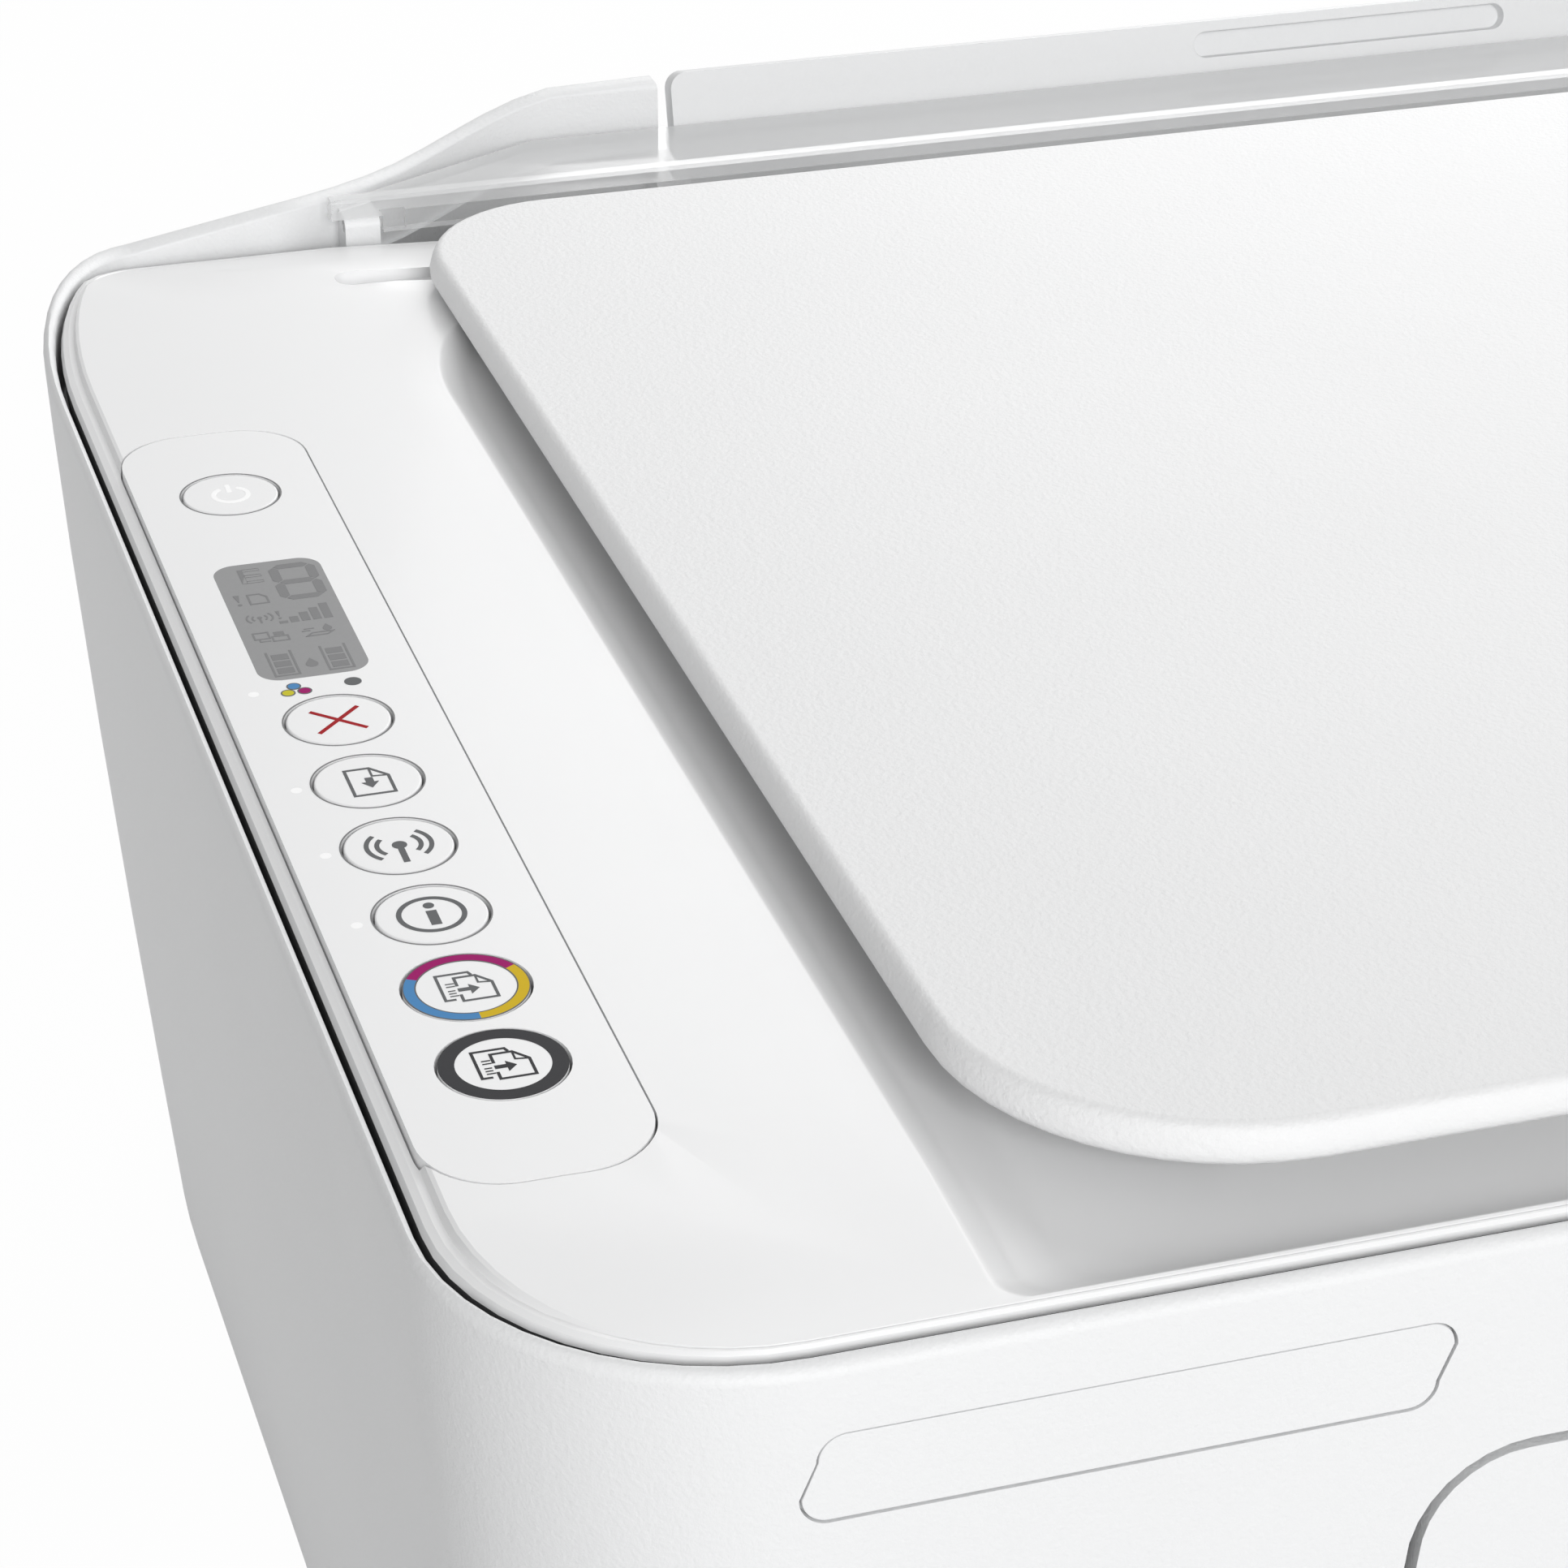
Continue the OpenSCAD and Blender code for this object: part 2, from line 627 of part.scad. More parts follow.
module hinge_pocket() {
  block(hinge_arm_x - hinge_pocket_w / 2, hinge_arm_x + hinge_pocket_w / 2, hinge_y - 10, deck_back_y + 1,
    hinge_z - 4.5, deck_z + 1);
}

// Two ears that hold one lid hinge pin, closed below and in front
module hinge_ears() {
  x0 = hinge_arm_x - hinge_pocket_w / 2;
  difference() {
    union() {
      block(x0 - 2, x0 + hinge_pocket_w + 2, hinge_y - 12, hinge_y + 4.6, hinge_z - 6.5, deck_z - 4.5);
      for (x = [x0, hinge_arm_x + hinge_arm_w / 2 + slide_gap])
        block(x, x + hinge_pocket_w / 2 - hinge_arm_w / 2 - slide_gap, hinge_y - 3.4, hinge_y + 3.4,
          hinge_z - 5, deck_z - 0.2);
    }
    block(hinge_arm_x - hinge_arm_w / 2 - slide_gap, hinge_arm_x + hinge_arm_w / 2 + slide_gap,
      hinge_y - 10, hinge_y + 6, hinge_z - 4.5, deck_z + 1);
    rod_x(x0 - 3, x0 + hinge_pocket_w + 3, hinge_y, hinge_z, lid_pin_r + run_gap);
  }
}

module groove() {
  y = back_y - 48.2;
  rounded_block(shoulder_x - 5.5, lid_x0 + 20, y - 2.7, y + 2.7, rim_z - 0.8, deck_z + 2, 2.6);
}

module top_deck() {
  color("white") {
    difference() {
      deck_skin();
      rounded_block(panel_x0 - panel_gap, panel_x1 + panel_gap, panel_y0 - panel_gap, panel_y1 + panel_gap,
        deck_z - panel_t, deck_z + 2, panel_r);
      block(panel_mid_x - 8.6, panel_mid_x + 8.6, panel_y0 + 6, panel_y1 - 6, deck_z - 9, deck_z);
      groove();
      mirrored() hinge_pocket();
    }
    mirrored() hinge_ears();
  }
}

// ---------- scanner ----------
module scanner_tray() {
  color("silver") {
    difference() {
      block(scan_x0, scan_x1, scan_y0, scan_y1, scan_z0, ledge_z0);
      block(scan_x0 + scan_wall, scan_x1 - scan_wall, scan_y0 + scan_wall, scan_y1 - scan_wall,
        scan_z0 + scan_floor_t, ledge_z0 + 1);
    }
    for (x = [scan_x0 + scan_wall + 8, scan_x1 - scan_wall - 8])
      rod_z(x, scan_belt_y, scan_z0 + scan_floor_t, scan_z0 + 9.6, axle_r);
  }
}

module scanner_glass() {
  color("lightcyan", 0.5) rounded_block(window_x0 - ledge, window_x1 + ledge, window_y0 - ledge,
    window_y1 + ledge, glass_z0, bed_z, 2);
}

module scan_rail() {
  color("silver") rod_x(scan_x0 + scan_wall, scan_x1 - scan_wall, scan_rod_y, scan_rod_z, scan_rod_r);
}

module scan_belt() {
  color("dimgray") belt_loop(scan_x0 + scan_wall + 8, scan_x1 - scan_wall - 8, scan_belt_y,
    scan_z0 + 3.4, scan_pulley_r);
}

module scan_pulley(x) {
  color("gold") difference() {
    rod_z(x, scan_belt_y, scan_z0 + 3.2, scan_z0 + 9.6, scan_pulley_r);
    rod_z(x, scan_belt_y, scan_z0 + 3, scan_z0 + 10, axle_r + run_gap);
  }
}

module scan_drive_pulley() {
  scan_pulley(scan_x0 + scan_wall + 8);
}

module scan_idler_pulley() {
  scan_pulley(scan_x1 - scan_wall - 8);
}

module scan_motor() {
  color("slategray") block(scan_x0 + scan_wall, scan_x0 + scan_wall + 12, scan_belt_y + 12,
    scan_belt_y + 36, scan_z0 + scan_floor_t, ledge_z0 - 1);
}

// Contact image sensor on its carrier, which slides on the rod and grips the belt
module scan_bar() {
  y0 = window_y0 - 4;
  y1 = window_y1 + 4;
  color("darkslategray") {
    difference() {
      union() {
        block(bar_x0, bar_x0 + bar_w, y0, y1, scan_z0 + 11, ledge_z0 - slide_gap);
        block(bar_x0, bar_x0 + bar_w, scan_rod_y - 5, scan_rod_y + 5, scan_rod_z - 3.6, scan_z0 + 11.5);
        block(bar_x0 + 3, bar_x0 + bar_w - 3, scan_belt_y - scan_pulley_r - slide_gap - belt_t - 3,
          scan_belt_y - scan_pulley_r - 2 * slide_gap - belt_t, scan_z0 + 4, scan_z0 + 11.5);
      }
      rod_x(bar_x0 - 1, bar_x0 + bar_w + 1, scan_rod_y, scan_rod_z, scan_rod_r + run_gap);
      block(bar_x0 + 6, bar_x0 + 12, y0 + 3, y1 - 3, ledge_z0 - 3, ledge_z0);
    }
  }
}

// ---------- control panel ----------
// Every button: name, y, diameter
small_ys = [power_y, cancel_y, copy_y + 4 * button_pitch, copy_y + 3 * button_pitch, copy_y + 2 * button_pitch];
copy_ys = [copy_y + button_pitch, copy_y];
light_y = [lcd_y0 - 2.5, copy_y + 4 * button_pitch + 0.1, copy_y + 3 * button_pitch + 0.1,
  copy_y + 2 * button_pitch];
light_x = panel_x0 + 3.7;

module control_panel_bezel() {
  color("white") difference() {
    rounded_block(panel_x0, panel_x1, panel_y0, panel_y1, deck_z - panel_t, deck_z, panel_r);
    for (y = small_ys)
      rod_z(panel_mid_x, y, deck_z - panel_t - 1, deck_z + 1, button_d / 2 + button_gap);
    for (y = copy_ys)
      rod_z(panel_mid_x, y, deck_z - panel_t - 1, deck_z + 1, copy_button_d / 2 + button_gap);
    rounded_block(lcd_x0, lcd_x0 + lcd_w, lcd_y0, lcd_y1, deck_z - panel_t - 1, deck_z + 1, 2.7);
    for (y = light_y) rod_z(light_x, y, deck_z - panel_t - 1, deck_z + 1, 0.6);
  }
}

module lcd_window() {
  color("lightgray", 0.6) rounded_block(lcd_x0, lcd_x0 + lcd_w, lcd_y0, lcd_y1, deck_z - 1, deck_z, 2.7);
}

module lcd_module() {
  color("gray") {
    rounded_block(lcd_x0, lcd_x0 + lcd_w, lcd_y0, lcd_y1, deck_z - panel_t - 0.2, deck_z - 1, 2.7);
    block(lcd_x0 - 1.6, lcd_x0 + lcd_w + 1.6, lcd_y0 - 1.2, lcd_y1 + 2, board_z + board_t,
      deck_z - panel_t - 0.2);
  }
}

module indicator_lights() {
  color("ivory") for (y = light_y) rod_z(light_x, y, board_z + board_t, deck_z, 0.6);
}

module panel_circuit_board() {
  color("seagreen") {
    block(panel_mid_x - 8, panel_mid_x + 8, panel_y0 + 7, panel_y1 - 7, board_z, board_z + board_t);
    for (y = concat(small_ys, copy_ys)) {
      rod_z(panel_mid_x, y, board_z + board_t, board_z + board_t + switch_h, 2.4);
      block(panel_mid_x + 6.6, panel_mid_x + 8, y - 5, y + 5, board_z + board_t, deck_z - panel_t);
    }
  }
}

// A round cap with a stem over its switch
module button(y, d) {
  rod_z(panel_mid_x, y, deck_z - panel_t, deck_z, d / 2);
  rod_z(panel_mid_x, y, board_z + board_t + switch_h + button_travel + 0.2, deck_z - panel_t, 2);
}

module power_button() { color("white") button(small_ys[0], button_d); }
module cancel_button() { color("white") button(small_ys[1], button_d); }
module resume_button() { color("white") button(small_ys[2], button_d); }
module wireless_button() { color("white") button(small_ys[3], button_d); }
module info_button() { color("white") button(small_ys[4], button_d); }
module colour_copy_button() { color("white") button(copy_ys[0], copy_button_d); }
module black_copy_button() { color("white") button(copy_ys[1], copy_button_d); }

// ---------- lid ----------
function lid_plan(d) = outline(lid_x0 + d, lid_x1 - d, lid_y0 + d, lid_y1 - d,
  [lid_front_r - d, lid_front_r - d], [lid_front_r - d, lid_front_r - d],
  [lid_back_r - d, lid_back_r - d], [lid_back_r - d, lid_back_r - d]);
function lid_ring(inset, share) = flat(lid_plan(inset), lid_z0 + lid_t * share);

module scanner_lid() {
  color("white") loft([lid_ring(1.6, 0), lid_ring(0.5, 0.08), lid_ring(0.1, 0.22), lid_ring(0, 0.38),
    lid_ring(0.25, 0.62), lid_ring(0.6, 0.82), lid_ring(1, 0.94), lid_ring(1.7, 1)]);
}

module lid_backing() {
  color("snow") block(window_x0 - 2, window_x1 + 2, window_y0 - 2, window_y1 + 2, bed_z + 0.4, lid_z0);
}

// Arms under the lid's back edge, each with its pin
module lid_hinge_arms() {
  color("lightgray") mirrored() {
    block(hinge_arm_x - hinge_arm_w / 2, hinge_arm_x + hinge_arm_w / 2, hinge_y - 9, hinge_y - 4,
      hinge_z - 1.5, lid_z0);
    block(hinge_arm_x - hinge_arm_w / 2, hinge_arm_x + hinge_arm_w / 2, hinge_y - 5, hinge_y,
      hinge_z - 2.6, hinge_z + 2.6);
    rod_x(hinge_arm_x - hinge_arm_w / 2, hinge_arm_x + hinge_arm_w / 2, hinge_y, hinge_z, 2.6);
    rod_x(hinge_arm_x - hinge_pocket_w / 2 + 1, hinge_arm_x + hinge_pocket_w / 2 - 1, hinge_y, hinge_z,
      lid_pin_r);
  }
}

// ---------- cartridge door ----------
module cartridge_door() {
  color("whitesmoke") {
    difference() {
      door_prism(door_y, door_y + door_t, door_gap);
      rod_y(0, door_y - 1, door_y + 1.2, door_top_z + 34, 42);
    }
    for (x = [-1, 1]) {
      block(x * (door_low_half - 12) - 4, x * (door_low_half - 12) + 4, door_y + door_t,
        door_pin_y, door_pin_z - 2, door_pin_z + 2);
      rod_x(x * (door_low_half - 12) - 4, x * (door_low_half - 12) + 4, door_pin_y, door_pin_z, 3);
    }
    mirrored() rod_x(door_low_half - 12, door_low_half + 6, door_pin_y, door_pin_z, door_pin_r);
  }
}

// ---------- paper input ----------
module input_tray() {
  color("whitesmoke") at_tray() difference() {
    union() {
      block(-tray_half, tray_half, 0, input_tray_t, -input_tray_l, -tray_r);
      block(-tray_half + tray_r, tray_half - tray_r, 0, input_tray_t, -input_tray_l, 0);
      mirrored() rod_y(tray_half - tray_r, 0, input_tray_t, -tray_r, tray_r);
    }
    grip_slot(input_tray_t - 1.6);
  }
}

// Finger recess near the tray's top
module grip_slot(depth) {
  for (x = [-1, 1]) rod_y(x * 24, -1, depth, -3.6, 1.9);
  block(-24, 24, -1, depth, -5.5, -1.7);
}

shield_y1 = tray_front_y - 3;

module paper_tray_shield() {
  wing = 34;
  color("lightcyan", 0.5) {
    translate([0, 0, shield_z0]) linear_extrude(1.6) polygon([
      [-shield_half, shield_y0], [shield_half, shield_y0], [shield_half, shield_y0 + 2.5],
      [shield_half - wing, shield_y1], [-shield_half + wing, shield_y1], [-shield_half, shield_y0 + 2.5]]);
    block(-shield_half, shield_half, shield_y0, shield_y0 + 2, shield_z0, shield_z0 + 3);
    block(-shield_ear_x + slide_gap, shield_ear_x - slide_gap, shield_y0, shield_y0 + 2,
      shield_pin_z - shield_pin_r, shield_z0);
    mirrored() {
      block(shield_ear_x - 4, shield_ear_x - slide_gap, shield_pin_y - 1, shield_pin_y + 1,
        shield_pin_z, shield_z0);
      rod_x(shield_ear_x - 4, shield_ear_x - slide_gap, shield_pin_y, shield_pin_z, 1);
      rod_x(shield_ear_x - 4, shield_ear_x + 4.6, shield_pin_y, shield_pin_z, shield_pin_r);
    }
  }
}

// Front wall of the paper slot, with the track for the two width guides
chute_y0 = slot_front_y + 0.6;
chute_t = 2.4;
chute_z0 = 70;
plate_back = 108;
chute_z1 = deck_z - 11;

module paper_chute() {
  color("darkgray") difference() {
    union() {
      block(left_plate_x, inner_plate_x + plate_t, chute_y0 - 3, chute_y0 - 3 + chute_t, chute_z0, chute_z1);
      for (x = [left_plate_x, inner_plate_x])
        block(x, x + plate_t, feed_y + plate_back, chute_y0 - 3 + chute_t, chute_z0 - 36, chute_z1);
    }
    block(-tray_half + 3, tray_half - 3, chute_y0 - 5, chute_y0 + 2, chute_z1 - 22, chute_z1 - 16);
  }
}

// A guide finger that rides in the chute's track
module paper_guide(x) {
  y = chute_y0 - 3;
  block(x - 2, x + 2, y + chute_t + slide_gap, y + chute_t + 8, chute_z1 - 34, chute_z1 + 6);
  block(x - 5, x + 5, y - 2, y + chute_t + slide_gap, chute_z1 - 22 + slide_gap, chute_z1 - 16 - slide_gap);
  block(x - 5, x + 5, y - 4, y - slide_gap, chute_z1 - 26, chute_z1 - 12);
}

module left_paper_guide() { color("gray") paper_guide(-guide_half); }
module right_paper_guide() { color("gray") paper_guide(guide_half); }

// ---------- paper output ----------
module output_tray() {
  color("lightgray") difference() {
    union() {
      block(-out_half, out_half, out_y0, out_y1, out_z0, out_z0 + output_tray_t);
      block(-out_half, out_half, out_y0, out_y0 + 3, out_z0, out_z0 + output_lip_h);
    }
    block(-extender_half - slide_gap, extender_half + slide_gap, out_y0 - 1, out_y1 - 4,
      out_z0 + 1.6, out_z0 + output_tray_t + 0.01);
    block(-extender_half - slide_gap, extender_half + slide_gap, out_y0 - 1, out_y0 + 4,
      out_z0 + 1.6, out_z0 + output_lip_h + 1);
  }
}

extender_z0 = out_z0 + 1.6 + slide_gap;
extender_t = 2.6;
stop_y = out_y0 + 6;

module tray_extender() {
  color("gainsboro") difference() {
    union() {
      block(-extender_half, extender_half, out_y0, out_y1 - 4 - slide_gap, extender_z0, extender_z0 + extender_t);
      block(-extender_half, extender_half, out_y0, out_y0 + 2, extender_z0, out_z0 + output_lip_h);
    }
    block(-stop_half - slide_gap, stop_half + slide_gap, stop_y - 2.4, stop_y + 40, extender_z0 - 1,
      extender_z0 + extender_t + 1);
    rod_y(0, out_y0 - 1, out_y0 + 3, out_z0 + output_lip_h + 9, 12);
    rod_x(-stop_half - 5, stop_half + 5, stop_y, extender_z0 + extender_t / 2, stop_pin_r + run_gap);
  }
}

// Folding flap at the extender's end
module paper_stop() {
  z = extender_z0 + extender_t / 2;
  color("gainsboro") {
    block(-stop_half, stop_half, stop_y, stop_y + 38, z - 0.9, z + 0.9);
    rod_x(-stop_half, stop_half, stop_y, z, 1.2);
    rod_x(-stop_half - 4, stop_half + 4, stop_y, z, stop_pin_r);
  }
}

// ---------- print mechanism ----------
module side_plate(x, y0, y1, z1) {
  block(x, x + plate_t, feed_y + y0, feed_y + y1, chassis_z0, z1);
}

// Side rail and shelf that the output tray runs on
module output_rail() {
  y0 = front_y + 0.12 * base_lean + wall + 0.3;
  x0 = out_half + slide_gap;
  block(x0, x0 + plate_t, y0, feed_y - 30, chassis_z0, out_z0 + 12);
  block(x0 - 6, x0 + 1, y0, feed_y - 30, out_z0 - slide_gap - 3, out_z0 - slide_gap);
}

module print_chassis() {
  inner_top = pinch_z + 4;
  color("darkgray") difference() {
    union() {
      block(left_plate_x, right_plate_x + plate_t, feed_y - 76, feed_y + 108, chassis_z0, chassis_z0 + 3);
      side_plate(left_plate_x, -76, plate_back, mech_top_z);
      side_plate(right_plate_x, -40, 40, mech_top_z);
      side_plate(inner_plate_x, -70, -6, carriage_z0 - 4);
      side_plate(inner_plate_x, -7, plate_back, inner_top);
      for (y = [idler_y, transfer_y, relay_y]) rod_x(gear_x, left_plate_x, y, feed_z, axle_r);
      mirrored() output_rail();
    }
    for (y = [output_y, feed_y, pickup_y])
      rod_x(left_plate_x - 1, inner_plate_x + plate_t + 1, y, feed_z, shaft_r + run_gap);
    rod_x(left_plate_x - 1, right_plate_x + plate_t + 1, rod_y, rod_z, rod_r);
    rod_x(left_plate_x - 1, inner_plate_x + plate_t + 1, feed_y, pinch_z, axle_r + run_gap);
    rod_x(left_plate_x - 1, left_plate_x + plate_t + 1, feed_y, pinion_z, 3);
  }
}

module carriage_rail() {
  x0 = left_plate_x + plate_t;
  color("silver") {
    block(x0, right_plate_x, rail_y, rail_y + 1.5, belt_z0 - 1, mech_top_z - 1);
    block(x0, right_plate_x, feed_y - 2, rail_y + 1.5, mech_top_z - 2.5, mech_top_z - 1);
    difference() {
      block(x0, motor_x + 13, feed_y - 2, rail_y + 1.5, belt_z0 - 2.5, belt_z0 - 1);
      rod_z(motor_x, belt_y, belt_z0 - 3, belt_z0, axle_r);
    }
    block(idler_x - 8, right_plate_x, feed_y - 2, rail_y + 1.5, belt_z0 - 2.5, belt_z0 - 1);
    rod_z(idler_x, belt_y, belt_z0 - 1, belt_z0 + belt_w, axle_r / 2);
  }
}

module guide_rod() {
  color("silver") rod_x(left_plate_x, right_plate_x + plate_t, rod_y, rod_z, rod_r);
}

cartridge_y0 = carriage_y0 + 2;
cartridge_y1 = rod_y - rod_r - 8;
bay_gap = 0.3;
bay_half = cartridge_w / 2 + bay_gap;
bay_x = [home_x - 16, home_x + 16];

module carriage() {
  color("dimgray") difference() {
    union() {
      block(carriage_x0, carriage_x0 + carriage_w, carriage_y0, carriage_y1, carriage_z0, carriage_z1);
      block(home_x - 8, home_x + 8, carriage_y1 - 1, belt_y - pulley_r - 2 * slide_gap - belt_t,
        belt_z0 + 1, belt_z0 + belt_w - 1);
    }
    for (x = bay_x) {
      block(x - bay_half, x + bay_half, carriage_y0 - 1, cartridge_y1 + bay_gap, carriage_z0 + cartridge_wall,
        carriage_z1 + 1);
      block(x - 9, x + 9, cartridge_y1 - 24, cartridge_y1 - 4, carriage_z0 - 1, carriage_z0 + 3);
    }
    rod_x(carriage_x0 - 1, carriage_x0 + carriage_w + 1, rod_y, rod_z, rod_r + run_gap);
  }
}

// A cartridge with its printhead nose reaching through the carriage floor
module cartridge(x) {
  block(x - cartridge_w / 2, x + cartridge_w / 2, cartridge_y0, cartridge_y1, carriage_z0 + cartridge_wall,
    carriage_z1 - 4);
  block(x - 8.6, x + 8.6, cartridge_y1 - 23.6, cartridge_y1 - 4.4, carriage_z0 - 0.6,
    carriage_z0 + cartridge_wall + 1);
}

module colour_cartridge() { color("slategray") cartridge(bay_x[0]); }
module black_cartridge() { color("black") cartridge(bay_x[1]); }

module carriage_belt() {
  color("black") belt_loop(motor_x, idler_x, belt_y, belt_z0, pulley_r);
}

module belt_pulley(x) {
  color("gold") difference() {
    rod_z(x, belt_y, belt_z0 - 0.7, belt_z0 + belt_w, pulley_r);
    rod_z(x, belt_y, belt_z0 - 2, belt_z0 + belt_w + 1, axle_r / 2 + run_gap);
  }
}

module belt_drive_pulley() { belt_pulley(motor_x); }
module belt_idler_pulley() { belt_pulley(idler_x); }

module carriage_motor() {
  color("slategray") {
    rod_z(motor_x, belt_y, belt_z0 - 30, belt_z0 - 2.5, 12);
    rod_z(motor_x, belt_y, belt_z0 - 2.5, belt_z0 + belt_w, axle_r / 2);
  }
}

// Shaft along X through both plates, with bands of rubber and its gear
module roller(y, r, bands, band_w, teeth, turn) {
  color("dimgray") {
    rod_x(gear_x, inner_plate_x + plate_t + 2, y, feed_z, shaft_r);
    for (x = bands) rod_x(x - band_w / 2, x + band_w / 2, y, feed_z, r);
    gear_x(gear_x, y, feed_z, teeth, turn, shaft_r - 0.5);
  }
}

module feed_roller() { roller(feed_y, feed_r, [0], 2 * paper_half - 4, feed_teeth, 0); }
module output_roller() { roller(output_y, 6, [-75, -25, 25, 75], 12, feed_teeth, 0); }
module pickup_roller() { roller(pickup_y, pickup_r, [0], 40, pickup_teeth, 180 / pickup_teeth); }

// A gear that turns on a stub axle; every second gear of the row is turned by half a tooth
module loose_gear(y, turn) {
  color("ivory") gear_x(gear_x, y, feed_z, feed_teeth, turn, axle_r + run_gap);
}

module idler_gear() { loose_gear(idler_y, 180 / feed_teeth); }
module transfer_gear() { loose_gear(transfer_y, 180 / feed_teeth); }
module relay_gear() { loose_gear(relay_y, 0); }

module motor_pinion() {
  color("gold") gear_x(gear_x, feed_y, pinion_z, pinion_teeth, 0, axle_r / 2 + run_gap);
}

module feed_motor() {
  color("slategray") {
    rod_x(left_plate_x + plate_t, left_plate_x + plate_t + 22, feed_y, pinion_z, 11);
    rod_x(gear_x, left_plate_x + plate_t, feed_y, pinion_z, axle_r / 2);
  }
}

pinch_r = 3;
pinch_z = feed_z + feed_r + pinch_r + 0.3;

module pinch_roller() {
  color("dimgray") {
    rod_x(left_plate_x + plate_t + 1, inner_plate_x - 1, feed_y, pinch_z, pinch_r);
    rod_x(left_plate_x, inner_plate_x + plate_t, feed_y, pinch_z, axle_r);
  }
}

module platen() {
  y0 = output_y + 9;
  y1 = feed_y - feed_r - 1;
  top_z = feed_z + feed_r;
  color("black") {
    block(left_plate_x + plate_t, inner_plate_x, y0, y1, top_z - 5, top_z - 2);
    for (x = [-90:20:90]) block(x - 1, x + 1, y0, y1, top_z - 2, top_z);
  }
}

sled_x0 = inner_plate_x + plate_t + 3;
sled_x1 = right_plate_x - 3;

// Sled with one wiping cap under each cartridge
module service_station() {
  color("gray") {
    difference() {
      block(sled_x0, sled_x1, feed_y - 76, feed_y - 20, chassis_z0 + 3.3, 44);
      block(sled_x0 + 2, sled_x1 - 2, feed_y - 74, feed_y - 22, 30, 45);
    }
    for (x = bay_x) block(x - 8, x + 8, feed_y - 64, feed_y - 44, 29, 52);
  }
}

module main_board() {
  z = usb_z - 8.6;
  color("seagreen") {
    block(usb_x - 14, usb_x + 12, feed_y - 90, back_shelf_y - 12, z, z + 1.6);
    block(usb_x - 8, usb_x + 4, feed_y - 60, feed_y - 48, z + 1.6, z + 4);
    block(usb_x - 10, usb_x + 8, feed_y + 10, feed_y + 18, z + 1.6, z + 8);
    difference() {
      block(usb_x - 6, usb_x + 6, usb_back_y - 18, usb_back_y - 1, z + 1.6, usb_z + 5.5);
      block(usb_x - 4.2, usb_x + 4.2, usb_back_y - 10, usb_back_y, usb_z - 4.2, usb_z + 4);
    }
  }
}

module power_supply() {
  y1 = feed_y + 115;
  color("dimgray") {
    block(inner_plate_x + plate_t + 2.5, half_w - 35, feed_y + 44, y1, chassis_z0 + 3, inlet_z + 20);
    difference() {
      block(inlet_x - 10.5, inlet_x + 10.5, y1 - 0.1, inlet_back_y - 1, inlet_z - 7.5, inlet_z + 7.5);
      block(inlet_x - 8, inlet_x + 8, inlet_back_y - 16, inlet_back_y, inlet_z - 4.5, inlet_z + 4.5);
    }
  }
}

outer_housing();
base_tray();
rubber_feet();
top_deck();
front_badge();
scanner_tray();
scanner_glass();
scan_rail();
scan_belt();
scan_motor();
scan_bar();
scan_drive_pulley();
scan_idler_pulley();
control_panel_bezel();
lcd_window();
lcd_module();
indicator_lights();
panel_circuit_board();
power_button();
cancel_button();
resume_button();
wireless_button();
info_button();
colour_copy_button();
black_copy_button();
scanner_lid();
lid_backing();
lid_hinge_arms();
cartridge_door();
input_tray();
paper_tray_shield();
paper_chute();
left_paper_guide();
right_paper_guide();
output_tray();
tray_extender();
paper_stop();
print_chassis();
carriage_rail();
guide_rod();
carriage();
colour_cartridge();
black_cartridge();
carriage_belt();
belt_drive_pulley();
belt_idler_pulley();
carriage_motor();
feed_roller();
output_roller();
pickup_roller();
idler_gear();
transfer_gear();
relay_gear();
motor_pinion();
feed_motor();
pinch_roller();
platen();
service_station();
main_board();
power_supply();
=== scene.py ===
"""Finishes and printed details for the all-in-one printer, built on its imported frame."""
import json
import math

import bpy
from bpy.props import FloatProperty, FloatVectorProperty, PointerProperty
from mathutils import Matrix, Vector


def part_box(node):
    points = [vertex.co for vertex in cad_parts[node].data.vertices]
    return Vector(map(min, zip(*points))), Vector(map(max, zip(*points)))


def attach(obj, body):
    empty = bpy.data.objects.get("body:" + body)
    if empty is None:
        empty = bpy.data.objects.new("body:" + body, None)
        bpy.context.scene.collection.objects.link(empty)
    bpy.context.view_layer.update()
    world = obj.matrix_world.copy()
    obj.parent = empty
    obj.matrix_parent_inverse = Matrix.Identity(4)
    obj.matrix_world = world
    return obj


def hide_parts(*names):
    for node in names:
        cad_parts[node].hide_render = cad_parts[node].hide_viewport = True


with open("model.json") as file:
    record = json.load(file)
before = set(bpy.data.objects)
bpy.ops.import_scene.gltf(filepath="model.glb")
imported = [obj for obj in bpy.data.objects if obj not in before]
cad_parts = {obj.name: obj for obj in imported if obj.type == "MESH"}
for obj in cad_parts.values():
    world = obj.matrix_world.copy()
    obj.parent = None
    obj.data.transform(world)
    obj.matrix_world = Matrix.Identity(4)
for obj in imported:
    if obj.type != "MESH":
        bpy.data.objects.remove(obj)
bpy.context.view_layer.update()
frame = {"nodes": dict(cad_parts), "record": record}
NODES = frame["nodes"]

bl_info = {
    "name": "Desktop printer finishes",
    "version": (1, 0, 0),
    "blender": (4, 5, 0),
    "location": "View3D > Sidebar > Printer",
    "description": "Finishes, printed marks and stage of a desktop printer",
    "category": "Object",
}

MM = 0.001

# Camera of the main view: where it stands in metres and how it is turned in degrees
CAMERA_PLACE = (-0.2751, -0.4389, 0.3574)
CAMERA_YAW, CAMERA_PITCH, CAMERA_ROLL = 17.44, 28.23, 0.26
SENSOR_WIDTH = 36.0

